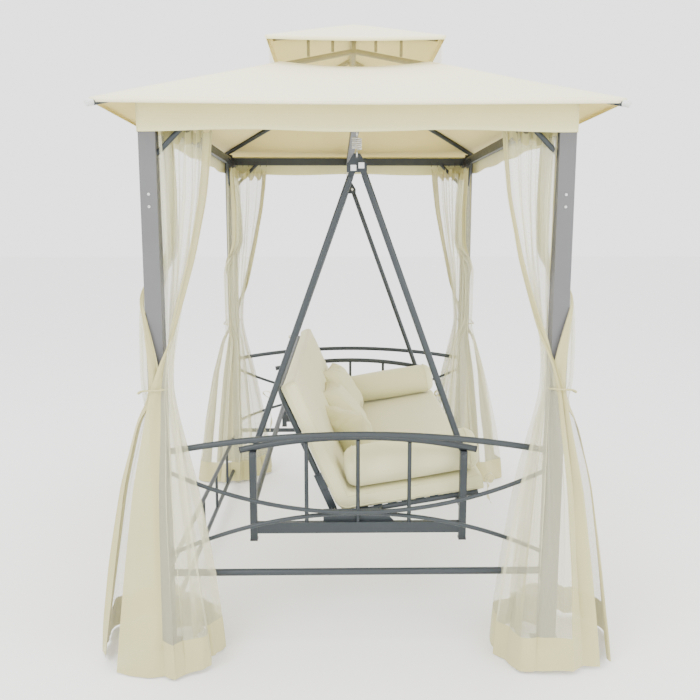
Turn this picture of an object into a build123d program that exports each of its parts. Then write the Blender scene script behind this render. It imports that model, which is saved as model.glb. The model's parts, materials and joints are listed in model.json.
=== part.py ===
from build123d import *
import math
import os

# Canopy swing bench: a gazebo frame with a two-tier fabric roof and tied-back curtains, and a
# spring-hung bench that swings under its middle beam. Sizes are in millimetres. The origin is on
# the ground under the middle of the roof, +X runs along the long side, the bench faces -Y, +Z is up.

# Gazebo frame
POST_X = 1000.0
POST_Y = 690.0
POST_WIDTH = 56.0
POST_JOINT_Z = 1586.0
SHEET_WALL = 1.2
FOOT_SIZE = 96.0
FOOT_THICKNESS = 3.0
ANCHOR_SPACING = 76.0
ANCHOR_RADIUS = 4.5
BEAM_Z = 1881.0
BEAM_HEIGHT = 40.0
BEAM_WIDTH = 25.0
SWING_BEAM_WIDTH = 30.0
BRACE_REACH = 148.0
BRACE_DIAMETER = 18.0

# Roof: both tiers are hipped at 45 degrees in plan over a short ridge
RIDGE_X = 309.0
RAFTER_DIAMETER = 22.0
LOWER_RIDGE_Z = 2213.0
LOWER_SLOPE = 0.4
LOWER_EDGE = 834.0
VENT_OPENING = 281.0
UPPER_RIDGE_Z = 2303.0
UPPER_SLOPE = 0.36
UPPER_EDGE = 333.0
NETTING_EDGE = 320.0
FABRIC_OFFSET = 12.0
FABRIC_THICKNESS = 4.0
STRUT_PLACES = (86.0, 180.0)
STRUT_DIAMETER = 12.0
VALANCE_BOTTOM_Z = 1810.0
VALANCE_TOP_Z = 1911.0
VALANCE_THICKNESS = 3.0

# End panels and the rear ladder
TAB_THICKNESS = 4.0
TOP_RAIL_DIAMETER = 22.0
TOP_RAIL_Z = (722.0, 782.0)
ARC_DIAMETER = 15.0
ARC_SPREAD = 7.8
UPPER_ARC_Z = (655.0, 500.0)
LOWER_ARC_Z = (340.0, 491.0)
BOTTOM_BAR_DIAMETER = 25.0
BOTTOM_BAR_Z = 275.0
REAR_RAIL_DIAMETER = 20.0
REAR_RAIL_Z = (75.0, 260.0)
REAR_STRUT_X = (-570.0, -190.0, 190.0, 570.0)
REAR_STRUT_DIAMETER = 14.0

# Curtains: each corner has two gathered halves, tied to the post
TIE_LOW_Z = 938.0
TIE_HIGH_Z = 950.0
TIE_THICKNESS = 3.0
HOOK_COUNT = 6
HOOK_PITCH = 34.0

# Suspension
HANGER_X = 826.0
EYE_Z = 1848.0
EYE_HOLE_RADIUS = 3.4
WIRE_DIAMETER = 6.0
SPRING_TOP_Z = 1813.0
SPRING_BOTTOM_Z = 1769.0
SPRING_RADIUS = 15.5
SPRING_WIRE = 5.0
SPRING_TURNS = 6
APEX_HOLE_Z = 1745.0
APEX_PLATE_THICKNESS = 5.0
REAR_APEX = (12.0, 1707.0)
FRONT_APEX = (-16.0, 1715.0)
HANGER_DIAMETER = 24.0
BOLT_RADIUS = 4.0

# Bench end frames
END_FRAME_X = 854.0
BENCH_POST_WIDTH = 26.0
BENCH_POST_Y = (385.0, -398.0)
BENCH_POST_BOTTOM = 345.0
ARM_DIAMETER = 24.0
ARM_ENDS_Y = (427.0, -439.0)
ARM_Z = (687.0, 734.0)
BALUSTER_Y = (187.0, -5.0, -197.0)
BALUSTER_DIAMETER = 15.0
BOTTOM_RAIL_Z = (365.0, 407.0)
BOTTOM_RAIL_WIDTH = 20.0
REAR_HANGER_BOLT = (385.0, 673.0)
FRONT_HANGER_BOLT = (-400.0, 665.0)
LONG_RAIL_DIAMETER = 25.0
REAR_LONG_RAIL = (385.0, 475.0)
FRONT_LONG_RAIL = (-398.0, 462.0)

# Seat and back
CUSHION_HALF_LENGTH = 800.0
SEAT_THICKNESS = 60.0
SEAT_REAR = (5.0, 435.5)
SEAT_LENGTH = 506.0
SEAT_TILT = 9.4
SEAT_RAIL_X = 790.0
SEAT_TUBE_DIAMETER = 20.0
SLAT_COUNT = 9
BACK_THICKNESS = 60.0
BACK_HEIGHT = 522.0
BACK_FOOT = (70.0, 440.0)
BACK_TILT = 23.7
BACK_TUBE_X = 770.0
BACK_TUBE_DIAMETER = 22.0
BACK_TUBE_OFFSET = 20.0
PIVOT_RADIUS = 6.0
BRACKET_THICKNESS = 4.0
BOLSTER_X = 722.0
BOLSTER_DIAMETER = 178.0
BOLSTER_LENGTH = 500.0
PILLOW_SIZE = 380.0
PILLOW_THICKNESS = 120.0
SOFT_GAP = 1.0

SIDES = (-1, 1)
BEAM_BOTTOM_Z = BEAM_Z - BEAM_HEIGHT / 2
POST_HALF = POST_WIDTH / 2

nodes = {}


def add(name, *solids):
    """Store one node as a compound of its separate solids."""
    nodes[name] = Compound(children=[Solid(piece.wrapped) for solid in solids for piece in solid.solids()])


def round_bar(start, end, diameter, wall=SHEET_WALL):
    """Round tube between two points, cut square."""
    start = Vector(*start)
    axis = Vector(*end) - start
    ring = Circle(diameter / 2) - Circle(diameter / 2 - wall)
    return extrude(Plane(origin=start, z_dir=axis) * ring, axis.length)


def square_bar(centre, size, wall=SHEET_WALL):
    """Square tube along its longest side."""
    along = size.index(max(size))
    core = [side + 2 if index == along else side - 2 * wall for index, side in enumerate(size)]
    return Pos(*centre) * (Box(*size) - Box(*core))


def arc_bar(start, middle, end, diameter, wall=SHEET_WALL):
    """Round tube bent to an arc through three points."""
    path = ThreePointArc(start, middle, end)
    ring = Circle(diameter / 2) - Circle(diameter / 2 - wall)
    return sweep(Plane(origin=path @ 0, z_dir=path % 0) * ring, path=path)


def box_from(low, high):
    """Box between two opposite corners."""
    centre = [(a + b) / 2 for a, b in zip(low, high)]
    return Pos(*centre) * Box(*[b - a for a, b in zip(low, high)])


def rod_along_x(x, y, z, radius, length):
    return Pos(x, y, z) * Rot(0, 90, 0) * Cylinder(radius, length)


def in_yz(points, x, thickness):
    """Plate of the given Y, Z outline, centred on x."""
    outline = make_face(Polyline(*[(0, y, z) for y, z in points], close=True))
    return Pos(x - thickness / 2, 0, 0) * extrude(outline, thickness, dir=(1, 0, 0))


def mirrored_x(solid):
    return [solid, mirror(solid, Plane.YZ)]


def four_corners(solid):
    pair = mirrored_x(solid)
    return pair + [mirror(one, Plane.XZ) for one in pair]


def lower_z(reach):
    """Height of the lower rafters' centre line at a distance from the ridge line."""
    return LOWER_RIDGE_Z - LOWER_SLOPE * reach


def upper_z(reach):
    return UPPER_RIDGE_Z - UPPER_SLOPE * reach


def hip_point(reach, height):
    return (RIDGE_X + reach, reach, height(reach))


# ---------------------------------------------------------------- gazebo frame

def build_posts():
    core = POST_WIDTH - 2 * SHEET_WALL
    plate = Pos(POST_X, POST_Y, FOOT_THICKNESS / 2) * Box(FOOT_SIZE, FOOT_SIZE, FOOT_THICKNESS)
    drills = GridLocations(ANCHOR_SPACING, ANCHOR_SPACING, 2, 2)
    plate -= Pos(POST_X, POST_Y, 0) * drills * Cylinder(ANCHOR_RADIUS, 4 * FOOT_THICKNESS)
    add("foot_plates", *four_corners(plate))
    height = POST_JOINT_Z - FOOT_THICKNESS
    tube = Box(POST_WIDTH, POST_WIDTH, height) - Box(core, core, height + 2)
    for side_y, row in ((-1, "front"), (1, "rear")):
        for side_x, end in ((-1, "left"), (1, "right")):
            add(f"post_{row}_{end}", Pos(side_x * POST_X, side_y * POST_Y, FOOT_THICKNESS + height / 2) * tube)
    top_height = BEAM_BOTTOM_Z - POST_JOINT_Z
    top = Box(POST_WIDTH, POST_WIDTH, top_height) - Box(core, core, top_height + 2)
    add("upper_posts", *four_corners(Pos(POST_X, POST_Y, POST_JOINT_Z + top_height / 2) * top))


def build_beams():
    end_length = 2 * (POST_Y - POST_HALF)
    side_length = 2 * (POST_X - POST_HALF)
    swing_length = 2 * POST_X - BEAM_WIDTH
    for side, end in ((-1, "left"), (1, "right")):
        add(f"end_beam_{end}", square_bar((side * POST_X, 0, BEAM_Z), (BEAM_WIDTH, end_length, BEAM_HEIGHT)))
    for side, row in ((-1, "front"), (1, "rear")):
        add(f"side_beam_{row}", square_bar((0, side * POST_Y, BEAM_Z), (side_length, BEAM_WIDTH, BEAM_HEIGHT)))
    add("swing_beam", square_bar((0, 0, BEAM_Z), (swing_length, SWING_BEAM_WIDTH, BEAM_HEIGHT), 2 * SHEET_WALL))
    # Each connector is a block between the beam ends with a stub that carries the hip rafter.
    stub_top = lower_z(POST_Y) - RAFTER_DIAMETER / 2 - 6
    stub_half = SWING_BEAM_WIDTH / 2 - 3
    block = box_from((POST_X - POST_HALF, POST_Y - POST_HALF, BEAM_BOTTOM_Z),
                     (POST_X + POST_HALF, POST_Y + POST_HALF, BEAM_Z + BEAM_HEIGHT / 2))
    block += box_from((POST_X - stub_half, POST_Y - stub_half, BEAM_Z),
                      (POST_X + stub_half, POST_Y + stub_half, stub_top))
    add("corner_connectors", *four_corners(block))


def build_braces():
    drop = BRACE_REACH - POST_HALF
    over = 30
    keep_x = box_from((POST_X - 300, POST_Y - 20, BEAM_BOTTOM_Z - 300), (POST_X - POST_HALF, POST_Y + 20, BEAM_BOTTOM_Z))
    keep_y = box_from((POST_X - 20, POST_Y - 300, BEAM_BOTTOM_Z - 300), (POST_X + 20, POST_Y - POST_HALF, BEAM_BOTTOM_Z))
    along_x = round_bar((POST_X - POST_HALF + over, POST_Y, BEAM_BOTTOM_Z - drop - over),
                        (POST_X - BRACE_REACH - over, POST_Y, BEAM_BOTTOM_Z + over), BRACE_DIAMETER)
    along_y = round_bar((POST_X, POST_Y - POST_HALF + over, BEAM_BOTTOM_Z - drop - over),
                        (POST_X, POST_Y - BRACE_REACH - over, BEAM_BOTTOM_Z + over), BRACE_DIAMETER)
    add("corner_braces", *four_corners(along_x & keep_x), *four_corners(along_y & keep_y))


def build_frame_screws():
    """Screw heads above and below each post joint, on its two outer faces."""
    head_radius = 5.0
    head_height = 2.5
    head = Cylinder(head_radius, head_height)
    proud = POST_HALF + head_height / 2
    screws = []
    for offset in (-20, 20):
        on_end = Pos(POST_X + proud, POST_Y, POST_JOINT_Z + offset) * Rot(0, 90, 0) * head
        on_side = Pos(POST_X, POST_Y + proud, POST_JOINT_Z + offset) * Rot(90, 0, 0) * head
        screws += four_corners(on_end) + four_corners(on_side)
    add("frame_screws", *screws)


# ---------------------------------------------------------------- roof

def build_roof_bars():
    near_hub = 12.0
    lower = round_bar(hip_point(near_hub, lower_z), hip_point(LOWER_EDGE - 8, lower_z), RAFTER_DIAMETER)
    upper = round_bar(hip_point(near_hub, upper_z), hip_point(UPPER_EDGE - 30, upper_z), RAFTER_DIAMETER)
    add("hip_rafters", *four_corners(lower))
    add("upper_rafters", *four_corners(upper))
    hub_radius = 9.0
    ridge_end = RIDGE_X - hub_radius
    add("ridge_bars", *[round_bar((-ridge_end, 0, z), (ridge_end, 0, z), RAFTER_DIAMETER)
                        for z in (LOWER_RIDGE_Z, UPPER_RIDGE_Z)])
    hub = Pos(RIDGE_X, 0, (LOWER_RIDGE_Z + UPPER_RIDGE_Z) / 2) * Cylinder(hub_radius, UPPER_RIDGE_Z - LOWER_RIDGE_Z + 16)
    struts = mirrored_x(hub)
    for reach in STRUT_PLACES:
        low = lower_z(reach) + RAFTER_DIAMETER / 2 + 3
        high = upper_z(reach) - RAFTER_DIAMETER / 2 - 3
        struts += four_corners(Pos(RIDGE_X + reach, reach, (low + high) / 2) * Cylinder(STRUT_DIAMETER / 2, high - low))
    add("vent_struts", *struts)
    cap_start = Vector(*hip_point(LOWER_EDGE - 7, lower_z))
    direction = (Vector(*hip_point(LOWER_EDGE, lower_z)) - Vector(*hip_point(0, lower_z))).normalized()
    cap = extrude(Plane(origin=cap_start, z_dir=direction) * Circle(RAFTER_DIAMETER / 2), 24)
    cap = fillet(cap.faces().sort_by(Axis(cap_start, direction))[-1].edges(), 5)
    add("rafter_caps", *four_corners(cap))


def hip_frustum(outer, inner, height, lift):
    """Solid under a hipped roof surface between two distances from the ridge line."""
    low = Pos(0, 0, height(outer) + lift) * Rectangle(2 * (RIDGE_X + outer), 2 * outer)
    high = Pos(0, 0, height(inner) + lift) * Rectangle(2 * (RIDGE_X + inner), 2 * inner)
    return loft([low, high], ruled=True)


def build_canopies():
    margin = 50.0
    tip = 0.5
    skin = hip_frustum(LOWER_EDGE, VENT_OPENING, lower_z, FABRIC_OFFSET + FABRIC_THICKNESS)
    skin -= hip_frustum(LOWER_EDGE + margin, VENT_OPENING - margin, lower_z, FABRIC_OFFSET)
    add("lower_canopy", skin)
    cover = hip_frustum(UPPER_EDGE, tip, upper_z, FABRIC_OFFSET + FABRIC_THICKNESS)
    cover -= hip_frustum(UPPER_EDGE + margin, tip, upper_z, FABRIC_OFFSET)
    add("upper_canopy", cover)
    netting_low = lower_z(NETTING_EDGE) + FABRIC_OFFSET + FABRIC_THICKNESS + 2
    netting_high = upper_z(NETTING_EDGE) + FABRIC_OFFSET - 3
    add("vent_netting", ring_wall(RIDGE_X + NETTING_EDGE, NETTING_EDGE, 2, netting_low, netting_high))
    valance_x = POST_X + POST_HALF + 1 + VALANCE_THICKNESS
    valance_y = POST_Y + POST_HALF + 1 + VALANCE_THICKNESS
    add("valance", ring_wall(valance_x, valance_y, VALANCE_THICKNESS, VALANCE_BOTTOM_Z, VALANCE_TOP_Z))


def ring_wall(half_x, half_y, thickness, low, high):
    """Upright rectangular band, open at the top and the bottom."""
    outer = Rectangle(2 * half_x, 2 * half_y) - Rectangle(2 * (half_x - thickness), 2 * (half_y - thickness))
    return extrude(Pos(0, 0, low) * outer, high - low)


# ---------------------------------------------------------------- end panels and rear ladder

def build_end_panels():
    reach = POST_Y - POST_HALF - TAB_THICKNESS
    over = 12.0
    keep = Pos(POST_X, 0, 500) * Box(100, 2 * reach, 1000)
    span = reach + over

    def arc_at(x, heights, diameter):
        ends_z, middle_z = heights
        return arc_bar((x, -span, ends_z), (x, 0, middle_z), (x, span, ends_z), diameter) & keep

    top_rail = arc_at(POST_X, TOP_RAIL_Z, TOP_RAIL_DIAMETER)
    upper_arc = arc_at(POST_X + ARC_SPREAD, UPPER_ARC_Z, ARC_DIAMETER)
    lower_arc = arc_at(POST_X - ARC_SPREAD, LOWER_ARC_Z, ARC_DIAMETER)
    bottom_bar = round_bar((POST_X, -reach, BOTTOM_BAR_Z), (POST_X, reach, BOTTOM_BAR_Z), BOTTOM_BAR_DIAMETER)
    for name, bar in (("end_top_rail", top_rail), ("end_arc_upper", upper_arc), ("end_arc_lower", lower_arc)):
        right, left = mirrored_x(bar)
        add(f"{name}_left", left)
        add(f"{name}_right", right)
    add("end_bottom_bars", *mirrored_x(bottom_bar))


def build_rear_ladder():
    reach = POST_X - POST_HALF - TAB_THICKNESS
    low_z, high_z = REAR_RAIL_Z
    add("rear_rails", *[round_bar((-reach, POST_Y, z), (reach, POST_Y, z), REAR_RAIL_DIAMETER) for z in REAR_RAIL_Z])
    gap = REAR_RAIL_DIAMETER / 2
    add("rear_struts", *[round_bar((x, POST_Y, low_z + gap), (x, POST_Y, high_z - gap), REAR_STRUT_DIAMETER)
                         for x in REAR_STRUT_X])


def build_tabs():
    """Plates on the post faces that the bars are screwed to."""
    tabs = []
    inner_y = POST_Y - POST_HALF
    for z in (TOP_RAIL_Z[0] + 2, UPPER_ARC_Z[0], LOWER_ARC_Z[0], BOTTOM_BAR_Z):
        tab = box_from((POST_X - 18, inner_y - TAB_THICKNESS, z - 24), (POST_X + 18, inner_y, z + 24))
        tabs += four_corners(tab)
    inner_x = POST_X - POST_HALF
    for z in REAR_RAIL_Z:
        tab = box_from((inner_x - TAB_THICKNESS, POST_Y - 16, z - 20), (inner_x, POST_Y + 16, z + 20))
        tabs += mirrored_x(tab)
    add("panel_tabs", *tabs)


# ---------------------------------------------------------------- curtains

# Height, then the low and high limits along the beam from the post centre, then outward from it.
CURTAIN_SECTIONS = (
    (1846, 34, 216, -27, -11),
    (1806, 34, 212, -27, -11),
    (1600, 34, 185, -32, -12),
    (1400, 34, 140, -32, -6),
    (1300, 34, 115, -22, 24),
    (1200, 34, 90, 31, 60),
    (1000, -24, 20, 31, 58),
    (930, -24, 20, 31, 58),
    (620, -125, 110, 38, 125),
    (330, -170, 172, 46, 175),
    (5, -215, 215, 48, 235),
)


def curtain_half():
    """Gathered half curtain: local x runs inward along the beam, local y outward, from the post centre."""
    sections = []
    for z, low_s, high_s, low_o, high_o in CURTAIN_SECTIONS:
        middle = Pos((low_s + high_s) / 2, (low_o + high_o) / 2, z)
        sections.append(middle * Rectangle(high_s - low_s, high_o - low_o))
    body = loft(sections, ruled=True)
    # The other half keeps the far side of the corner's diagonal.
    far = 400.0
    gap = 4.0
    wedge = make_face(Polyline((-gap, 0, 0), (-gap - far, far, 0), (-gap - far, 0, 0), close=True))
    return body - extrude(wedge, POST_JOINT_Z, dir=(0, 0, 1))


def build_curtains():
    half = curtain_half()
    on_end = Pos(-POST_X, -POST_Y, 0) * Rot(0, 0, 90) * half
    on_side = Pos(-POST_X, -POST_Y, 0) * mirror(half, Plane.XZ)
    for flip_y, row in ((False, "front"), (True, "rear")):
        for flip_x, end in ((False, "left"), (True, "right")):
            pair = [on_end, on_side]
            if flip_x:
                pair = [mirror(one, Plane.YZ) for one in pair]
            if flip_y:
                pair = [mirror(one, Plane.XZ) for one in pair]
            add(f"curtain_{row}_{end}", *pair)


def build_ties():
    inside = POST_HALF + 6.5
    outside = 60.0
    width = inside + outside
    centre = (outside - inside) / 2
    loop = RectangleRounded(width + 2 * TIE_THICKNESS, width + 2 * TIE_THICKNESS, 20)
    loop -= RectangleRounded(width, width, 17)
    band = extrude(Pos(POST_X + centre, POST_Y + centre, TIE_LOW_Z) * loop, TIE_HIGH_Z - TIE_LOW_Z)
    add("tie_bands", *four_corners(band))


def build_curtain_hooks():
    """Clips that hang on the beams' inner faces and hold the curtains' top hems."""
    hooks = []
    clip_top = BEAM_Z - 4
    clip_bottom = CURTAIN_SECTIONS[0][0] + 1
    for index in range(HOOK_COUNT):
        along = 40 + index * HOOK_PITCH
        face = BEAM_WIDTH / 2 + 0.2
        on_end = box_from((POST_X - face - 9, POST_Y - along - 4, clip_bottom),
                          (POST_X - face, POST_Y - along + 4, clip_top))
        on_side = box_from((POST_X - along - 4, POST_Y - face - 9, clip_bottom),
                           (POST_X - along + 4, POST_Y - face, clip_top))
        hooks += four_corners(on_end) + four_corners(on_side)
    add("curtain_hooks", *hooks)


# ---------------------------------------------------------------- suspension

def wire_loop(width, low, high):
    """Closed wire link standing in the X-Z plane."""
    plane = Plane(origin=(HANGER_X, 0, (low + high) / 2), x_dir=(1, 0, 0), z_dir=(0, -1, 0))
    path = plane * RectangleRounded(width, high - low, 7).wire()
    return sweep(Plane(origin=path @ 0, z_dir=path % 0) * Circle(WIRE_DIAMETER / 2), path=path)


def build_suspension():
    plate = in_yz([(-13, BEAM_BOTTOM_Z), (-13, EYE_Z - 6), (-7, EYE_Z - 12), (7, EYE_Z - 12),
                   (13, EYE_Z - 6), (13, BEAM_BOTTOM_Z)], HANGER_X, 6)
    plate -= rod_along_x(HANGER_X, 0, EYE_Z, EYE_HOLE_RADIUS, 20)
    add("eye_plates", *mirrored_x(plate))
    add("spring_hooks", *mirrored_x(wire_loop(26, SPRING_TOP_Z + WIRE_DIAMETER / 2 + 1, EYE_Z)))
    height = SPRING_TOP_Z - SPRING_BOTTOM_Z - SPRING_WIRE
    helix = Helix(height / SPRING_TURNS, height, SPRING_RADIUS)
    coil = sweep(Plane(origin=helix @ 0, z_dir=helix % 0) * Circle(SPRING_WIRE / 2), path=helix, is_frenet=True)
    add("springs", *mirrored_x(Pos(HANGER_X, 0, SPRING_BOTTOM_Z + SPRING_WIRE / 2) * coil))
    low_top = SPRING_BOTTOM_Z - WIRE_DIAMETER / 2 - 1
    add("lower_hooks", *mirrored_x(wire_loop(22, APEX_HOLE_Z, low_top)))
    apex = in_yz([(-12, 1757), (-36, 1716), (-36, 1692), (36, 1692), (36, 1716), (12, 1757)],
                 HANGER_X, APEX_PLATE_THICKNESS)
    apex -= rod_along_x(HANGER_X, 0, APEX_HOLE_Z, WIRE_DIAMETER / 2 + 0.4, 20)
    for y, z in (REAR_APEX, FRONT_APEX):
        apex -= rod_along_x(HANGER_X, y, z, BOLT_RADIUS + 0.3, 20)
    add("apex_plates", *mirrored_x(apex))


def hanger(top, bottom, top_side):
    """Tube with a flattened, drilled tab at each end. top_side says which plate face it lies on."""
    along = Vector(0, bottom[0] - top[0], bottom[1] - top[1])
    length = along.length
    frame = Plane(origin=(HANGER_X, top[0], top[1]), x_dir=(1, 0, 0), z_dir=along)
    clear_top = 34.0
    clear_bottom = 18.0
    ring = Circle(HANGER_DIAMETER / 2) - Circle(HANGER_DIAMETER / 2 - 1.5)
    tube = extrude(frame * Pos(0, 0, clear_top) * ring, length - clear_top - clear_bottom)
    face = APEX_PLATE_THICKNESS / 2 + 0.2
    tab_centre = top_side * (face + 2.5)
    upper_tab = Pos(tab_centre, 0, 22) * Box(5, HANGER_DIAMETER - 2, 72)
    inner_face = END_FRAME_X - BENCH_POST_WIDTH / 2 - 0.2 - HANGER_X
    lower_tab = Pos(inner_face - 3.5, 0, length - 20) * Box(7, HANGER_DIAMETER - 2, 68)
    body = tube + frame * upper_tab + frame * lower_tab
    for y, z in (top, bottom):
        body -= rod_along_x(HANGER_X, y, z, BOLT_RADIUS + 0.3, 60)
    return body


def build_hangers():
    rear = hanger(REAR_APEX, REAR_HANGER_BOLT, -1)
    front = hanger(FRONT_APEX, FRONT_HANGER_BOLT, 1)
    add("hanger_tubes", *mirrored_x(rear), *mirrored_x(front))


def through_bolt(low_x, high_x, y, z):
    """Bolt along X with a square washer at the head and a nut."""
    shank = rod_along_x((low_x + high_x) / 2, y, z, BOLT_RADIUS, high_x - low_x)
    washer = Pos(high_x + 1, y, z) * Box(2, 20, 20)
    head = rod_along_x(high_x + 4.5, y, z, 7, 5)
    nut = Pos(low_x - 3, y, z) * Rot(0, 90, 0) * extrude(RegularPolygon(7, 6), 3, both=True)
    return shank + washer + head + nut


def build_bench_bolts():
    bolts = []
    half_plate = APEX_PLATE_THICKNESS / 2 + 0.2
    tab = 5.2
    bolts.append(through_bolt(HANGER_X - half_plate - tab, HANGER_X + half_plate, *REAR_APEX))
    bolts.append(through_bolt(HANGER_X - half_plate, HANGER_X + half_plate + tab, *FRONT_APEX))
    inner = END_FRAME_X - BENCH_POST_WIDTH / 2
    outer = END_FRAME_X + BENCH_POST_WIDTH / 2 + 0.2
    for y, z in (REAR_HANGER_BOLT, FRONT_HANGER_BOLT):
        bolts.append(through_bolt(inner - 7.5, outer, y, z))
    add("bench_bolts", *[solid for bolt in bolts for solid in mirrored_x(bolt)])


# ---------------------------------------------------------------- bench end frames

def arm_height(y):
    """Centre line of the armrest's arc at a place across the bench."""
    middle = sum(ARM_ENDS_Y) / 2
    half = (ARM_ENDS_Y[0] - ARM_ENDS_Y[1]) / 2
    rise = ARM_Z[1] - ARM_Z[0]
    radius = (half ** 2 + rise ** 2) / (2 * rise)
    return ARM_Z[1] - radius + math.sqrt(radius ** 2 - (y - middle) ** 2)


def build_end_frames():
    middle = sum(ARM_ENDS_Y) / 2
    arm = arc_bar((END_FRAME_X, ARM_ENDS_Y[0], ARM_Z[0]), (END_FRAME_X, middle, ARM_Z[1]),
                  (END_FRAME_X, ARM_ENDS_Y[1], ARM_Z[0]), ARM_DIAMETER, 1.5)
    add("armrests", *mirrored_x(arm))
    posts = []
    for y, bolt in zip(BENCH_POST_Y, (REAR_HANGER_BOLT, FRONT_HANGER_BOLT)):
        top = arm_height(y) - ARM_DIAMETER / 2 - 4
        height = top - BENCH_POST_BOTTOM
        post = square_bar((END_FRAME_X, y, BENCH_POST_BOTTOM + height / 2),
                          (BENCH_POST_WIDTH, BENCH_POST_WIDTH, height), 1.5)
        post -= rod_along_x(END_FRAME_X, bolt[0], bolt[1], BOLT_RADIUS + 0.3, 60)
        posts += mirrored_x(post)
    add("bench_posts", *posts)
    balusters = []
    for y in BALUSTER_Y:
        top = arm_height(y) - ARM_DIAMETER / 2 - 1
        balusters += mirrored_x(round_bar((END_FRAME_X, y, BOTTOM_RAIL_Z[1]), (END_FRAME_X, y, top), BALUSTER_DIAMETER))
    add("balusters", *balusters)
    rear_end = BENCH_POST_Y[0] - BENCH_POST_WIDTH / 2
    front_end = BENCH_POST_Y[1] + BENCH_POST_WIDTH / 2
    rail = square_bar((END_FRAME_X, (rear_end + front_end) / 2, sum(BOTTOM_RAIL_Z) / 2),
                      (BOTTOM_RAIL_WIDTH, rear_end - front_end, BOTTOM_RAIL_Z[1] - BOTTOM_RAIL_Z[0]), 1.5)
    add("bottom_rails", *mirrored_x(rail))
    reach = END_FRAME_X - BENCH_POST_WIDTH / 2 - 0.2
    add("long_rails", *[round_bar((-reach, y, z), (reach, y, z), LONG_RAIL_DIAMETER, 1.5)
                        for y, z in (REAR_LONG_RAIL, FRONT_LONG_RAIL)])


def build_tube_caps():
    """Plastic plugs under the bench posts and on the armrest ends."""
    caps = []
    for y in BENCH_POST_Y:
        caps += mirrored_x(box_from((END_FRAME_X - 14, y - 14, BENCH_POST_BOTTOM - 8),
                                    (END_FRAME_X + 14, y + 14, BENCH_POST_BOTTOM)))
    for y, outward in zip(ARM_ENDS_Y, (1, -1)):
        slope = math.degrees(math.atan2(ARM_Z[1] - ARM_Z[0], (ARM_ENDS_Y[0] - ARM_ENDS_Y[1]) / 4))
        tangent = Rot(-outward * slope, 0, 0)
        plug = Pos(END_FRAME_X, y, ARM_Z[0]) * tangent * Pos(0, outward * 3.2, 0) * Rot(90, 0, 0) * Cylinder(12.5, 6)
        caps += mirrored_x(plug)
    add("tube_caps", *caps)


# ---------------------------------------------------------------- seat

def seat_frame_location():
    """Placement whose local -Y runs forward along the seat and local +Z is the seat's upward normal."""
    return Pos(0, SEAT_REAR[0], SEAT_REAR[1]) * Rot(-SEAT_TILT, 0, 0)


def seat_slab(gap=0.0):
    """Seat mattress, grown by a gap on every side."""
    slab = box_from((-CUSHION_HALF_LENGTH - gap, -SEAT_LENGTH - gap, -gap),
                    (CUSHION_HALF_LENGTH + gap, gap, SEAT_THICKNESS + gap))
    return seat_frame_location() * slab


def build_seat():
    place = seat_frame_location()
    drop = 14.0
    rear = 56.0
    front = -SEAT_LENGTH + 30
    tube = SEAT_TUBE_DIAMETER
    rails = [round_bar((side * SEAT_RAIL_X, rear, -drop), (side * SEAT_RAIL_X, front, -drop), tube) for side in SIDES]
    inside = SEAT_RAIL_X - tube / 2 - 0.1
    crosses = [round_bar((-inside, y, -drop), (inside, y, -drop), tube) for y in (rear - 12, front + 12)]
    slats = []
    pitch = (SEAT_LENGTH - 70) / (SLAT_COUNT - 1)
    for index in range(SLAT_COUNT):
        y = -35 - index * pitch
        slats.append(box_from((-SEAT_RAIL_X, y - 17, -drop + tube / 2 + 0.1), (SEAT_RAIL_X, y + 17, -0.6)))
    stub_start = SEAT_RAIL_X + tube / 2 + 0.1
    stub_end = END_FRAME_X - BOTTOM_RAIL_WIDTH / 2 - BRACKET_THICKNESS - 0.3
    stubs = [round_bar((side * stub_start, y, -drop), (side * stub_end, y, -drop), 16)
             for side in SIDES for y in (30, -100)]
    add("seat_frame", *[place * bar for bar in rails + crosses + stubs + slats])
    soft = seat_slab()
    long_edges = soft.edges().filter_by(Axis.X)
    add("mattress_seat", fillet(long_edges, 14))


def back_pivot():
    """Y and Z of the recline hinge, at the foot of the back frame's tubes."""
    tilt = math.radians(BACK_TILT)
    return (BACK_FOOT[0] + BACK_TUBE_OFFSET * math.cos(tilt), BACK_FOOT[1] - BACK_TUBE_OFFSET * math.sin(tilt))


def build_brackets():
    pivot_y, pivot_z = back_pivot()
    x = END_FRAME_X - BOTTOM_RAIL_WIDTH / 2 - BRACKET_THICKNESS / 2 - 0.2
    low = BOTTOM_RAIL_Z[0] + 3
    plate = in_yz([(125, low), (125, 452), (-95, 452), (-143, 404), (-185, 396), (-185, low)], x, BRACKET_THICKNESS)
    plate -= rod_along_x(x, pivot_y, pivot_z, PIVOT_RADIUS + 0.1, 30)
    pin_inner = BACK_TUBE_X + BACK_TUBE_DIAMETER / 2 - 6
    pin_outer = END_FRAME_X - 4
    pin = rod_along_x((pin_inner + pin_outer) / 2, pivot_y, pivot_z, PIVOT_RADIUS, pin_outer - pin_inner)
    add("seat_brackets", *mirrored_x(plate), *mirrored_x(pin))


# ---------------------------------------------------------------- reclining back

def back_location():
    """Placement at the foot of the back's rear face, local +Z up the back and local -Y forward."""
    return Pos(0, BACK_FOOT[0], BACK_FOOT[1]) * Rot(-BACK_TILT, 0, 0)


def back_slab(gap=0.0):
    slab = box_from((-CUSHION_HALF_LENGTH - gap, -BACK_THICKNESS - gap, -gap),
                    (CUSHION_HALF_LENGTH + gap, gap, BACK_HEIGHT + gap))
    return back_location() * slab


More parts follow.
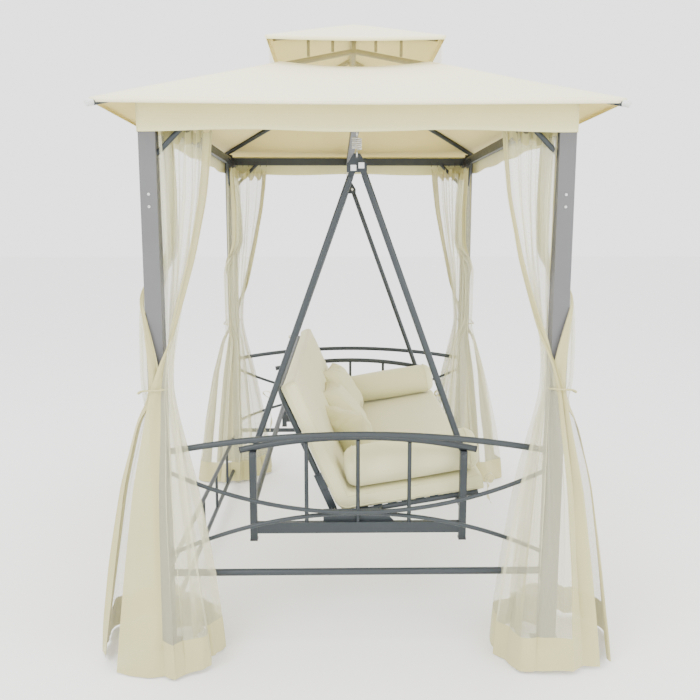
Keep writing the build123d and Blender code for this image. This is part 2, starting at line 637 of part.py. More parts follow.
def build_back():
    place = back_location()
    offset = BACK_TUBE_OFFSET
    start = 16.0
    top = BACK_HEIGHT - 25
    x = BACK_TUBE_X
    path = FilletPolyline((-x, offset, start), (-x, offset, top), (x, offset, top), (x, offset, start), radius=60)
    ring = Circle(BACK_TUBE_DIAMETER / 2) - Circle(BACK_TUBE_DIAMETER / 2 - SHEET_WALL)
    hoop = sweep(Plane(origin=path @ 0, z_dir=path % 0) * ring, path=path)
    inside = x - BACK_TUBE_DIAMETER / 2 - 0.1
    crosses = [round_bar((-inside, offset, z), (inside, offset, z), 16) for z in (70, 260)]
    plate_x = x + BACK_TUBE_DIAMETER / 2 + BRACKET_THICKNESS / 2 + 0.1
    plate = box_from((plate_x - 2, offset - 15, 0), (plate_x + 2, offset + 15, 150))
    plate += rod_along_x(plate_x, offset, 0, 15, BRACKET_THICKNESS)
    plate -= rod_along_x(plate_x, offset, 0, PIVOT_RADIUS + 0.3, 20)
    bolt_heads = [rod_along_x(plate_x + 4.2, offset, z, 6, 4) for z in (76, 136)]
    solids = [hoop] + crosses + mirrored_x(plate)
    for head in bolt_heads:
        solids += mirrored_x(head)
    add("back_frame", *[place * solid for solid in solids])
    soft = back_slab()
    add("mattress_back", fillet(soft.edges().filter_by(Axis.X), 14))


def bolster_solid(gap=0.0):
    radius = BOLSTER_DIAMETER / 2
    body = Cylinder(radius + gap, BOLSTER_LENGTH + 2 * gap)
    body = fillet(body.edges().filter_by(GeomType.CIRCLE), 34)
    centre = Pos(BOLSTER_X, 14 - BOLSTER_LENGTH / 2, SEAT_THICKNESS + radius + 0.5)
    return seat_frame_location() * centre * Rot(90, 0, 0) * body


def pillow(x, y, z, turn, lean, shrink=1.0):
    """Square throw pillow, thin at the rim, turned about the upright and leaned back."""
    half = PILLOW_SIZE * shrink / 2
    rim = 26.0
    middle = Plane.XZ * RectangleRounded(2 * half - 60, 2 * half - 60, 60)
    face = loft([Plane.XZ * RectangleRounded(2 * half, 2 * half, 26), Pos(0, -PILLOW_THICKNESS / 2, 0) * middle])
    body = face + mirror(face, Plane.XZ)
    body = body + Box(2 * half - rim, rim, 2 * half - rim)
    body = Pos(x, y, z) * Rot(0, 0, turn) * Rot(-lean, 0, 0) * body
    body -= back_slab(SOFT_GAP)
    body -= seat_slab(SOFT_GAP)
    # Only the part in front of the back and above the seat is kept.
    return max(body.solids(), key=lambda solid: solid.volume)


def build_soft_extras():
    right, left = mirrored_x(bolster_solid())
    add("bolster_left", left)
    add("bolster_right", right)
    far = pillow(415, 25, 668, -12, 32)
    middle = pillow(110, 30, 650, -4, 36)
    near = pillow(-300, -2, 622, 42, 26, 0.95)
    add("pillows", far, middle, near)


build_posts()
build_beams()
build_braces()
build_frame_screws()
build_roof_bars()
build_canopies()
build_end_panels()
build_rear_ladder()
build_tabs()
build_curtains()
build_ties()
build_curtain_hooks()
build_suspension()
build_hangers()
build_bench_bolts()
build_end_frames()
build_tube_caps()
build_seat()
build_brackets()
build_back()
build_soft_extras()

os.makedirs("parts", exist_ok=True)
for name, shape in nodes.items():
    export_step(shape, f"parts/{name}.step")
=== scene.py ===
import json
import math

import bmesh
import bpy
import numpy as np
from mathutils import Euler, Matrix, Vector
from mathutils.bvhtree import BVHTree


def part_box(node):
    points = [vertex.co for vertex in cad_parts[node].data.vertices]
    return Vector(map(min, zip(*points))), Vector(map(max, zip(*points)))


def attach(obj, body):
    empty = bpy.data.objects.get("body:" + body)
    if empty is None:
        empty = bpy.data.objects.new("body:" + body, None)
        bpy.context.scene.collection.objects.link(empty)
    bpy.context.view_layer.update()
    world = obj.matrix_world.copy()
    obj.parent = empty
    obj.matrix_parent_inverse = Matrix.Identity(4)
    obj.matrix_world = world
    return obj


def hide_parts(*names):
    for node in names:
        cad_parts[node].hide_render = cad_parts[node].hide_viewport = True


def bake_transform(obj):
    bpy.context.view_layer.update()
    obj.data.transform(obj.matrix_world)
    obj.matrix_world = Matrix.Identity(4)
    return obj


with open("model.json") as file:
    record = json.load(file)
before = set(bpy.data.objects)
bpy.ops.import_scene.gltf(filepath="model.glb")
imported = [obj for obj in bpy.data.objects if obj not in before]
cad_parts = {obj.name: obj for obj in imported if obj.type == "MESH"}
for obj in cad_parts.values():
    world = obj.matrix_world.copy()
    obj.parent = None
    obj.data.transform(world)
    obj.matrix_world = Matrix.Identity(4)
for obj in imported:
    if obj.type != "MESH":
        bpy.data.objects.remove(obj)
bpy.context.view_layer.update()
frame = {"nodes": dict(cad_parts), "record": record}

bl_info = {
    "name": "Canopy Swing Bench",
    "version": (1, 0, 0),
    "blender": (4, 5, 0),
    "location": "View3D > Sidebar > Swing Bench",
    "description": "Fabric, cushions, curtains and finishes of a gazebo swing bench",
    "category": "Object",
}


def node_box(name):
    low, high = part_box(name)
    return np.array(low, float), np.array(high, float)


POST = (node_box("post_rear_right")[0] + node_box("post_rear_right")[1]) / 2
POST_HALF = (node_box("post_rear_right")[1] - node_box("post_rear_right")[0])[0] / 2
ROOF_LOW, ROOF_HIGH = node_box("lower_canopy")
TOP_LOW, TOP_HIGH = node_box("upper_canopy")
NET_LOW, NET_HIGH = node_box("vent_netting")
VALANCE_LOW, VALANCE_HIGH = node_box("valance")
TIE_LOW, TIE_HIGH = node_box("tie_bands")
BEAM_BOTTOM = node_box("end_beam_right")[0][2]
RIDGE_X = ROOF_HIGH[0] - ROOF_HIGH[1]
POST_NODES = ("post_front_left", "post_front_right", "post_rear_left", "post_rear_right", "upper_posts")
CORNERS = [(x, y) for y in (-1, 1) for x in (-1, 1)]
CORNER_NAMES = {(-1, -1): "front_left", (1, -1): "front_right", (-1, 1): "rear_left", (1, 1): "rear_right"}


# ------------------------------------------------------------------ settings

class FinishSettings(bpy.types.PropertyGroup):
    coat: bpy.props.FloatVectorProperty(
        name="Powder coat", description="Slate grey of the steel frame", subtype="COLOR",
        default=(0.026, 0.033, 0.037))
    plastic: bpy.props.FloatVectorProperty(
        name="Plastic", description="Caps, clips and connectors", subtype="COLOR", default=(0.018, 0.019, 0.021))
    canopy: bpy.props.FloatVectorProperty(
        name="Canopy", description="Upper face of the roof cloth", subtype="COLOR", default=(0.87, 0.84, 0.56))
    # Underside colour: painted shade and painted glow of light through the cloth. It is the canopy cloth painted
    # darker and yellower, not a second dye.
    underside_painted_shade: bpy.props.FloatVectorProperty(
        name="Underside", description="Lower face of the roof cloth", subtype="COLOR", default=(0.70, 0.575, 0.19))
    mesh: bpy.props.FloatVectorProperty(
        name="Curtain mesh", description="Sheer part of the curtains", subtype="COLOR", default=(0.76, 0.745, 0.50))
    border: bpy.props.FloatVectorProperty(
        name="Curtain border", description="Woven edges and hems of the curtains", subtype="COLOR",
        default=(0.49, 0.45, 0.21))
    cushion: bpy.props.FloatVectorProperty(
        name="Cushion cloth", description="Mattress, bolsters and pillows", subtype="COLOR",
        default=(0.66, 0.635, 0.37))
    valance: bpy.props.FloatVectorProperty(
        name="Valance", description="Band of cloth round the beams", subtype="COLOR", default=(0.73, 0.69, 0.36))
    # Posts colour: the posts have the same slate coat as the frame; this lighter grey is painted haze of the white
    # sheer curtain that hangs over them.
    post: bpy.props.FloatVectorProperty(
        name="Posts", description="Lighter grey coat of the flat-sided posts", subtype="COLOR",
        default=(0.115, 0.115, 0.118))
    sheer: bpy.props.FloatProperty(
        name="Mesh cover", description="How much the sheer mesh hides", subtype="FACTOR",
        default=0.34, min=0.0, max=1.0)


class ClothSettings(bpy.types.PropertyGroup):
    roof_sag: bpy.props.FloatProperty(
        name="Roof sag", description="How far the roof cloth sinks between its rafters", default=0.014, unit="LENGTH")
    hem: bpy.props.FloatProperty(
        name="Roof hem", description="Turned-down edge of the roof cloth", default=0.014, unit="LENGTH")
    stitch_pitch: bpy.props.FloatProperty(
        name="Stitch pitch", description="Distance from stitch to stitch", default=0.009, unit="LENGTH")
    panel_width: bpy.props.FloatProperty(
        name="Curtain width", description="Flat width of one half curtain", default=0.72, unit="LENGTH")
    border_width: bpy.props.FloatProperty(
        name="Curtain border", description="Width of the woven edge strips", default=0.095, unit="LENGTH")
    hem_height: bpy.props.FloatProperty(
        name="Curtain hem", description="Height of the woven bottom hem", default=0.12, unit="LENGTH")
    pleats: bpy.props.IntProperty(
        name="Pleats", description="Folds across one half curtain", default=6, min=2, max=16)


class CushionSettings(bpy.types.PropertyGroup):
    pressure: bpy.props.FloatProperty(
        name="Stuffing", description="Cloth pressure that plumps a cushion", default=4.0)
    piping: bpy.props.FloatProperty(
        name="Piping", description="Thickness of the sewn piping", default=0.005, unit="LENGTH")
    pillow_size: bpy.props.FloatProperty(
        name="Pillow", description="Side of a throw pillow", default=0.32, unit="LENGTH")
    pillow_depth: bpy.props.FloatProperty(
        name="Pillow depth", description="Thickness of a throw pillow", default=0.125, unit="LENGTH")


class StageSettings(bpy.types.PropertyGroup):
    eye: bpy.props.FloatVectorProperty(
        name="Eye", description="Place of the camera", subtype="TRANSLATION", default=(-3.6375, 0.0702, 1.4913))
    pitch: bpy.props.FloatProperty(
        name="Pitch", description="Angle the camera looks down", subtype="ANGLE", default=0.154)
    yaw: bpy.props.FloatProperty(
        name="Yaw", description="Angle the camera looks toward the bench's front", subtype="ANGLE", default=0.0164)
    lens: bpy.props.FloatProperty(
        name="Lens", description="Focal length in millimetres", default=39.89)


SETTINGS = (
    ("swing_finish", FinishSettings),
    ("swing_cloth", ClothSettings),
    ("swing_cushion", CushionSettings),
    ("swing_stage", StageSettings),
)


# ------------------------------------------------------------------ small helpers

def new_mesh(name, points, faces, uv=None, smooth=True):
    """Object at the origin, from points and faces, with an optional UV for each point."""
    mesh = bpy.data.meshes.new(name)
    mesh.from_pydata([tuple(map(float, p)) for p in points], [], faces)
    if uv is not None:
        layer = mesh.uv_layers.new(name="UVMap")
        for loop in mesh.loops:
            layer.data[loop.index].uv = uv[loop.vertex_index]
    if smooth:
        mesh.shade_smooth()
    mesh.update()
    obj = bpy.data.objects.new(name, mesh)
    bpy.context.collection.objects.link(obj)
    return obj


def grid_faces(rows, columns, wrap=False):
    """Quads of a grid of points stored row by row."""
    last = columns if wrap else columns - 1
    faces = []
    for row in range(rows - 1):
        for column in range(last):
            right = (column + 1) % columns
            faces.append((row * columns + column, row * columns + right,
                          (row + 1) * columns + right, (row + 1) * columns + column))
    return faces


def face_out(obj):
    """Merge doubles and point every face outwards."""
    work = bmesh.new()
    work.from_mesh(obj.data)
    bmesh.ops.remove_doubles(work, verts=work.verts, dist=1e-5)
    bmesh.ops.recalc_face_normals(work, faces=work.faces)
    work.to_mesh(obj.data)
    work.free()
    obj.data.update()


def modifier_applied(obj):
    """Replace the mesh by what its modifiers make of it."""
    graph = bpy.context.evaluated_depsgraph_get()
    mesh = bpy.data.meshes.new_from_object(obj.evaluated_get(graph))
    obj.modifiers.clear()
    obj.data = mesh
    return obj


def smooth_step(t):
    t = np.clip(t, 0.0, 1.0)
    return t * t * (3 - 2 * t)


def tube_along(name, points, radius, sides=8, closed=False):
    """Round tube through points, with its ends closed unless the path is."""
    path = np.array(points, float)
    count = len(path)
    rings = []
    previous = None
    for index in range(count):
        ahead = path[(index + 1) % count] if closed or index < count - 1 else path[index]
        behind = path[index - 1] if closed or index > 0 else path[index]
        tangent = Vector(ahead - behind).normalized()
        side = previous if previous is not None else tangent.orthogonal()
        side = (side - tangent * side.dot(tangent)).normalized()
        previous = side
        other = tangent.cross(side)
        for step in range(sides):
            angle = 2 * math.pi * step / sides
            rings.append(Vector(path[index]) + radius * (math.cos(angle) * side + math.sin(angle) * other))
    faces = grid_faces(count, sides, wrap=True)
    if closed:
        start = (count - 1) * sides
        # The last ring joins the first at the turn that brings their points together.
        shift = min(range(sides), key=lambda k: (rings[start] - rings[k]).length)
        for step in range(sides):
            following = (step + 1) % sides
            faces.append((start + step, start + following, (following + shift) % sides, (step + shift) % sides))
    else:
        faces.append(tuple(range(sides - 1, -1, -1)))
        faces.append(tuple((count - 1) * sides + step for step in range(sides)))
    obj = new_mesh(name, rings, faces)
    face_out(obj)
    return obj


# ------------------------------------------------------------------ materials

def shader_of(material):
    return material.node_tree.nodes["Principled BSDF"]


def start_material(name, colour, roughness):
    material = bpy.data.materials.new(name)
    material.use_nodes = True
    shader = shader_of(material)
    shader.inputs["Base Color"].default_value = (*colour, 1)
    shader.inputs["Roughness"].default_value = roughness
    return material


def add_node(material, kind, **values):
    node = material.node_tree.nodes.new(kind)
    for key, value in values.items():
        if key in node.inputs:
            node.inputs[key].default_value = value
        else:
            setattr(node, key, value)
    return node


def link(material, source, target):
    material.node_tree.links.new(source, target)


def feed(material, socket, value):
    """Link a value to one of the material's shader sockets."""
    link(material, value, shader_of(material).inputs[socket])


def noise(material, scale, detail=3.0, coordinate="Object"):
    place = add_node(material, "ShaderNodeTexCoord")
    texture = add_node(material, "ShaderNodeTexNoise", Scale=scale, Detail=detail)
    link(material, place.outputs[coordinate], texture.inputs["Vector"])
    return texture


def span(material, value, low, high):
    """Map a 0 to 1 value to a range."""
    node = add_node(material, "ShaderNodeMapRange")
    node.inputs["To Min"].default_value = low
    node.inputs["To Max"].default_value = high
    link(material, value, node.inputs["Value"])
    return node.outputs["Result"]


def vary_colour(material, colour, factor, amount):
    """Base colour that drifts between a darker and a lighter tone of itself."""
    mix = add_node(material, "ShaderNodeMix", data_type="RGBA")
    mix.inputs[6].default_value = (*[c * (1 - amount) for c in colour], 1)
    mix.inputs[7].default_value = (*[min(1.0, c * (1 + amount)) for c in colour], 1)
    link(material, factor, mix.inputs["Factor"])
    return mix.outputs[2]


def add_bump(material, heights):
    """Chain of bumps: pairs of a height and how deep it is, in metres."""
    normal = None
    for height, depth in heights:
        bump = add_node(material, "ShaderNodeBump", Strength=1.0, Distance=depth)
        link(material, height, bump.inputs["Height"])
        if normal is not None:
            link(material, normal, bump.inputs["Normal"])
        normal = bump.outputs["Normal"]
    feed(material, "Normal", normal)


def weave_height(material, yarns_per_metre, coordinate="Object"):
    """Over-and-under weave from two crossed wave patterns."""
    place = add_node(material, "ShaderNodeTexCoord")
    waves = []
    for direction in ("X", "Y", "Z"):
        wave = add_node(material, "ShaderNodeTexWave", Scale=yarns_per_metre / 20, bands_direction=direction)
        wave.inputs["Distortion"].default_value = 0.4
        link(material, place.outputs[coordinate], wave.inputs["Vector"])
        waves.append(wave.outputs["Fac"])
    first = add_node(material, "ShaderNodeMath", operation="MULTIPLY")
    link(material, waves[0], first.inputs[0])
    link(material, waves[1], first.inputs[1])
    total = add_node(material, "ShaderNodeMath", operation="ADD")
    link(material, first.outputs[0], total.inputs[0])
    link(material, waves[2], total.inputs[1])
    return total.outputs[0]


def powder_coat(name, colour, roughness=0.42):
    """Satin powder coat: orange-peel grain, faint dust and a soft drift of tone."""
    material = start_material(name, colour, roughness)
    drift = noise(material, 5.0, 4.0)
    dust = noise(material, 60.0, 5.0)
    peel = noise(material, 900.0, 2.0)
    feed(material, "Base Color", vary_colour(material, colour, drift.outputs["Fac"], 0.16))
    feed(material, "Roughness", span(material, dust.outputs["Fac"], roughness - 0.08, roughness + 0.14))
    add_bump(material, [(peel.outputs["Fac"], 0.00012)])
    shader_of(material).inputs["Metallic"].default_value = 0.15
    return material


def moulded_plastic(name, colour, roughness=0.5):
    material = start_material(name, colour, roughness)
    drift = noise(material, 30.0)
    grain = noise(material, 1400.0, 2.0)
    feed(material, "Base Color", vary_colour(material, colour, drift.outputs["Fac"], 0.2))
    feed(material, "Roughness", span(material, drift.outputs["Fac"], roughness - 0.1, roughness + 0.1))
    add_bump(material, [(grain.outputs["Fac"], 0.0001)])
    return material


def zinc_steel(name, colour, roughness=0.36):
    """Zinc plating: mottled crystals over bright steel."""
    material = start_material(name, colour, roughness)
    spangle = add_node(material, "ShaderNodeTexVoronoi", Scale=180.0)
    place = add_node(material, "ShaderNodeTexCoord")
    link(material, place.outputs["Object"], spangle.inputs["Vector"])
    smear = noise(material, 90.0, 4.0)
    feed(material, "Base Color", vary_colour(material, colour, spangle.outputs["Distance"], 0.25))
    feed(material, "Roughness", span(material, smear.outputs["Fac"], roughness - 0.12, roughness + 0.2))
    add_bump(material, [(smear.outputs["Fac"], 0.0001)])
    shader_of(material).inputs["Metallic"].default_value = 1.0
    return material


def two_tone_bolts(name, bright, dark, split=1.3):
    """Zinc-plated bolts up at the hangers' tops, and coated ones below the given height."""
    material = zinc_steel(name, bright, 0.28)
    place = add_node(material, "ShaderNodeTexCoord")
    parts = add_node(material, "ShaderNodeSeparateXYZ")
    link(material, place.outputs["Object"], parts.inputs[0])
    high = compare(material, parts.outputs["Z"], split)
    drift = noise(material, 40.0)
    colour = add_node(material, "ShaderNodeMix", data_type="RGBA")
    link(material, high, colour.inputs["Factor"])
    link(material, vary_colour(material, dark, drift.outputs["Fac"], 0.2), colour.inputs[6])
    link(material, vary_colour(material, bright, drift.outputs["Fac"], 0.2), colour.inputs[7])
    feed(material, "Base Color", colour.outputs[2])
    feed(material, "Metallic", high)
    return material


def woven_cloth(name, colour, roughness=0.85, yarns=700, crease=0.0016, amount=0.07):
    """Polyester weave with soft creases and a slight drift of shade."""
    material = start_material(name, colour, roughness)
    drift = noise(material, 2.4, 5.0)
    creases = noise(material, 9.0, 6.0)
    fuzz = noise(material, 500.0, 4.0)
    weave = weave_height(material, yarns)
    feed(material, "Base Color", vary_colour(material, colour, drift.outputs["Fac"], amount))
    feed(material, "Roughness", span(material, fuzz.outputs["Fac"], roughness - 0.08, min(1.0, roughness + 0.1)))
    add_bump(material, [(creases.outputs["Fac"], crease), (weave, 0.00018), (fuzz.outputs["Fac"], 0.0001)])
    shader = shader_of(material)
    shader.inputs["Sheen Weight"].default_value = 0.25
    shader.inputs["Sheen Roughness"].default_value = 0.5
    return material


def sheer_mesh(name, colour, cover, yarns=900):
    """Fine netting: a pale, partly clear knit."""
    material = start_material(name, colour, 0.8)
    drift = noise(material, 3.0, 4.0)
    knit = noise(material, 700.0, 3.0)
    feed(material, "Base Color", vary_colour(material, colour, drift.outputs["Fac"], 0.05))
    feed(material, "Alpha", span(material, knit.outputs["Fac"], cover - 0.12, min(1.0, cover + 0.12)))
    add_bump(material, [(weave_height(material, yarns), 0.0002)])
    return material


def compare(material, value, threshold, soft=0.002):
    """1 where the value is over the threshold, 0 under it, with a narrow soft edge."""
    node = add_node(material, "ShaderNodeMapRange")
    node.inputs["From Min"].default_value = threshold - soft
    node.inputs["From Max"].default_value = threshold + soft
    link(material, value, node.inputs["Value"])
    return node.outputs["Result"]


def math_node(material, operation, first, second):
    node = add_node(material, "ShaderNodeMath", operation=operation)
    for socket, value in zip(node.inputs, (first, second)):
        if isinstance(value, (int, float)):
            socket.default_value = value
        else:
            link(material, value, socket)
    return node.outputs[0]


def curtain_cloth(name, finish, cloth, height):
    """Sheer mesh with woven strips down both edges, a top binding and a deep hem, laid out in its UV in metres."""
    material = start_material(name, finish.mesh, 0.82)
    place = add_node(material, "ShaderNodeTexCoord")
    split = add_node(material, "ShaderNodeSeparateXYZ")
    link(material, place.outputs["UV"], split.inputs[0])
    across = split.outputs["X"]
    down = split.outputs["Y"]
    width = cloth.panel_width
    first = math_node(material, "SUBTRACT", 1.0, compare(material, across, cloth.border_width * 0.2))
    second = compare(material, across, width - cloth.border_width)
    hem = compare(material, down, height - cloth.hem_height)
    binding = math_node(material, "SUBTRACT", 1.0, compare(material, down, 0.045))
    woven = math_node(material, "MAXIMUM", math_node(material, "MAXIMUM", first, second),
                      math_node(material, "MAXIMUM", hem, binding))
    drift = noise(material, 3.0, 4.0)
    pale = vary_colour(material, finish.mesh, drift.outputs["Fac"], 0.05)
    beige = vary_colour(material, finish.border, drift.outputs["Fac"], 0.1)
    colour = add_node(material, "ShaderNodeMix", data_type="RGBA")
    link(material, woven, colour.inputs["Factor"])
    link(material, pale, colour.inputs[6])
    link(material, beige, colour.inputs[7])
    feed(material, "Base Color", colour.outputs[2])
    knit = noise(material, 900.0, 3.0)
    cover = span(material, knit.outputs["Fac"], finish.sheer - 0.1, finish.sheer + 0.1)
    alpha = math_node(material, "MAXIMUM", cover, math_node(material, "MULTIPLY", woven, 0.94))
    feed(material, "Alpha", alpha)
    creases = noise(material, 14.0, 5.0)
    add_bump(material, [(creases.outputs["Fac"], 0.0012), (weave_height(material, 700), 0.0002)])
    shader_of(material).inputs["Sheen Weight"].default_value = 0.2
    return material


def set_material(obj, *materials):
    obj.data.materials.clear()
    for material in materials:
        obj.data.materials.append(material)


def finish_piece(obj, body, slot, *nodes):
    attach(obj, body)
    if nodes:
        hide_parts(*nodes)
    return obj


# ------------------------------------------------------------------ geometry node trees

def start_tree(name, inputs):
    """Geometry tree with named inputs, each a name, a socket type and a default."""
    tree = bpy.data.node_groups.new(name, "GeometryNodeTree")
    tree.interface.new_socket("Geometry", in_out="INPUT", socket_type="NodeSocketGeometry")
    for label, kind, default in inputs:
        socket = tree.interface.new_socket(label, in_out="INPUT", socket_type=kind)
        if default is not None:
            socket.default_value = default
    tree.interface.new_socket("Geometry", in_out="OUTPUT", socket_type="NodeSocketGeometry")
    return tree, tree.nodes.new("NodeGroupInput"), tree.nodes.new("NodeGroupOutput")


def run_tree(obj, tree, values):
    """Put the tree on an object, set its inputs by identifier, and keep the result as a plain mesh."""
    modifier = obj.modifiers.new(tree.name, "NODES")
    modifier.node_group = tree
    for item in tree.interface.items_tree:
        if item.item_type == "SOCKET" and item.in_out == "INPUT" and item.name in values:
            modifier[item.identifier] = values[item.name]
    return modifier_applied(obj)


def copies_tree():
    """One copy of a template at each point, turned by the point's own angles."""
    tree, start, end = start_tree("Copies on points", [
        ("Template", "NodeSocketObject", None), ("Size", "NodeSocketFloat", 1.0),
        ("Finish", "NodeSocketMaterial", None)])
    info = tree.nodes.new("GeometryNodeObjectInfo")
    turn = tree.nodes.new("GeometryNodeInputNamedAttribute")
    turn.data_type = "FLOAT_VECTOR"
    turn.inputs["Name"].default_value = "turn"
    rotation = tree.nodes.new("FunctionNodeEulerToRotation")
    copies = tree.nodes.new("GeometryNodeInstanceOnPoints")
    realize = tree.nodes.new("GeometryNodeRealizeInstances")
    finish = tree.nodes.new("GeometryNodeSetMaterial")
    links = tree.links
    links.new(start.outputs["Template"], info.inputs["Object"])
    links.new(start.outputs["Geometry"], copies.inputs["Points"])
    links.new(info.outputs["Geometry"], copies.inputs["Instance"])
    links.new(turn.outputs["Attribute"], rotation.inputs[0])
    links.new(rotation.outputs[0], copies.inputs["Rotation"])
    links.new(start.outputs["Size"], copies.inputs["Scale"])
    links.new(copies.outputs["Instances"], realize.inputs["Geometry"])
    links.new(realize.outputs["Geometry"], finish.inputs["Geometry"])
    links.new(start.outputs["Finish"], finish.inputs["Material"])
    links.new(finish.outputs["Geometry"], end.inputs["Geometry"])
    return tree


def copies_at(name, places, turns, template, size, material):
    obj = new_mesh(name, places, [], smooth=False)
    attribute = obj.data.attributes.new("turn", "FLOAT_VECTOR", "POINT")
    attribute.data.foreach_set("vector", np.array(turns, np.float32).ravel())
    tree = bpy.data.node_groups.get("Copies on points") or copies_tree()
    run_tree(obj, tree, {"Template": template, "Size": size, "Finish": material})
    template_mesh = template.data
    bpy.data.objects.remove(template)
    bpy.data.meshes.remove(template_mesh)
    return obj


def coil_tree():
    """Close-wound coil along Z from a spiral and a round section."""
    tree, start, end = start_tree("Coil spring", [
        ("Turns", "NodeSocketFloat", 6.0), ("Radius", "NodeSocketFloat", 0.0155), ("Height", "NodeSocketFloat", 0.04),
        ("Wire", "NodeSocketFloat", 0.0025), ("Finish", "NodeSocketMaterial", None)])
    spiral = tree.nodes.new("GeometryNodeCurveSpiral")
    spiral.inputs["Resolution"].default_value = 28
    ring = tree.nodes.new("GeometryNodeCurvePrimitiveCircle")
    ring.inputs["Resolution"].default_value = 10
    skin = tree.nodes.new("GeometryNodeCurveToMesh")
    skin.inputs["Fill Caps"].default_value = True
    smooth = tree.nodes.new("GeometryNodeSetShadeSmooth")
    copies = tree.nodes.new("GeometryNodeInstanceOnPoints")
    realize = tree.nodes.new("GeometryNodeRealizeInstances")
    finish = tree.nodes.new("GeometryNodeSetMaterial")
    links = tree.links
    links.new(start.outputs["Turns"], spiral.inputs["Rotations"])
    links.new(start.outputs["Radius"], spiral.inputs["Start Radius"])
    links.new(start.outputs["Radius"], spiral.inputs["End Radius"])
    links.new(start.outputs["Height"], spiral.inputs["Height"])
    links.new(start.outputs["Wire"], ring.inputs["Radius"])
    links.new(spiral.outputs["Curve"], skin.inputs["Curve"])
    links.new(ring.outputs["Curve"], skin.inputs["Profile Curve"])
    links.new(skin.outputs["Mesh"], smooth.inputs["Geometry"])
    links.new(start.outputs["Geometry"], copies.inputs["Points"])
    links.new(smooth.outputs["Geometry"], copies.inputs["Instance"])
    links.new(copies.outputs["Instances"], realize.inputs["Geometry"])
    links.new(realize.outputs["Geometry"], finish.inputs["Geometry"])
    links.new(start.outputs["Finish"], finish.inputs["Material"])
    links.new(finish.outputs["Geometry"], end.inputs["Geometry"])
    return tree


# ------------------------------------------------------------------ roof cloth

def hip_ring(reach, count):
    """Points around the rectangle at a distance from the ridge line, with how far each is along its side."""
    half_x = RIDGE_X + reach
    half_y = reach
    corners = [(-half_x, -half_y), (half_x, -half_y), (half_x, half_y), (-half_x, half_y)]
    ring = []
    for side in range(4):
        start = np.array(corners[side])
        stop = np.array(corners[(side + 1) % 4])
        steps = count[side % 2]
        for step in range(steps):
            along = step / steps
            ring.append((*(start + (stop - start) * along), along, side))
    return ring


def roof_skin(name, outer, inner, height, sag, hem, rows=26, edge_droop=0.006, mouth_droop=0.02):
    """Continuous hipped cloth: it sinks between its rafters and turns down at the eave."""
    counts = (64, 44)
    points = []
    for row in range(rows + 1):
        t = row / rows
        reach = outer + (inner - outer) * t
        for x, y, along, side in hip_ring(reach, counts):
            belly = math.sin(math.pi * along)
            sink = sag * belly ** 0.7 * math.sin(math.pi * min(1.0, 0.08 + 0.92 * t)) ** 0.8
            sink += edge_droop * belly * (1 - t) ** 3
            sink += mouth_droop * belly * t ** 4 * (1.0 if side % 2 else 0.5)
            ripple = 0.0012 * math.sin(9 * x + 5 * y) * math.sin(7 * y - 3 * x)
            points.append((x, y, height(reach) - sink + ripple))
    lip = []
    for drop, tuck in ((0.35, -0.001), (1.0, 0.0035)):
        for x, y, along, side in hip_ring(outer - tuck, counts):
            lip.append((x, y, height(outer) - edge_droop * math.sin(math.pi * along) - hem * drop))
    columns = 2 * sum(counts)
    ordered = lip[columns:] + lip[:columns] + points
    obj = new_mesh(name, ordered, grid_faces(rows + 3, columns, wrap=True))
    if inner <= 0.002:
        work = bmesh.new()
        work.from_mesh(obj.data)
        bmesh.ops.remove_doubles(work, verts=work.verts, dist=0.003)
        work.to_mesh(obj.data)
        work.free()
    face_up = bmesh.new()
    face_up.from_mesh(obj.data)
    bmesh.ops.recalc_face_normals(face_up, faces=face_up.faces)
    if sum(face.normal.z * face.calc_area() for face in face_up.faces) < 0:
        bmesh.ops.reverse_faces(face_up, faces=face_up.faces)
    face_up.to_mesh(obj.data)
    face_up.free()
    obj.data.shade_smooth()
    return obj


def thicken(obj, thickness, inner_slot=1):
    """Give cloth its thickness on the lower side, whose faces take the second material."""
    modifier = obj.modifiers.new("Thickness", "SOLIDIFY")
    modifier.thickness = thickness
    modifier.offset = -1
    modifier.material_offset = inner_slot
    return modifier_applied(obj)


def lower_height(reach):
    slope = (ROOF_HIGH[2] - ROOF_LOW[2]) / (ROOF_HIGH[1] - 0.281)
    return ROOF_HIGH[2] - slope * (reach - 0.281)


def upper_height(reach):
    slope = (TOP_HIGH[2] - TOP_LOW[2]) / TOP_HIGH[1]
    return TOP_HIGH[2] - slope * reach


def band_around(name, half_x, half_y, low, high, ripple, rows=10):
    """Upright band of cloth around a rectangle, with gentle waves."""
    points = []
    uv = []
    counts = (150, 100)
    columns = 2 * sum(counts) + 1
    corners = [(-half_x, -half_y), (half_x, -half_y), (half_x, half_y), (-half_x, half_y)]
    for row in range(rows):
        t = row / (rows - 1)
        distance = 0.0
        for side in range(4):
            start = np.array(corners[side])
            stop = np.array(corners[(side + 1) % 4])
            outward = np.array((stop - start)[[1, 0]]) * (1, -1) / np.linalg.norm(stop - start)
            for step in range(counts[side % 2] + (side == 3)):
                along = step / counts[side % 2]
                place = start + (stop - start) * along
                calm = math.sin(math.pi * along) ** 0.5
                wave = math.sin(17 * place[0] + 11 * place[1]) + 0.6 * math.sin(31 * place[0] - 23 * place[1] + 2)
                place = place + outward * ripple * wave * calm * (1 - t)
                points.append((*place, low(place, along, side) * (1 - t) + high * t))
                uv.append((distance + along * np.linalg.norm(stop - start), t))
            distance += np.linalg.norm(stop - start)
    return new_mesh(name, points, grid_faces(rows, columns), uv)


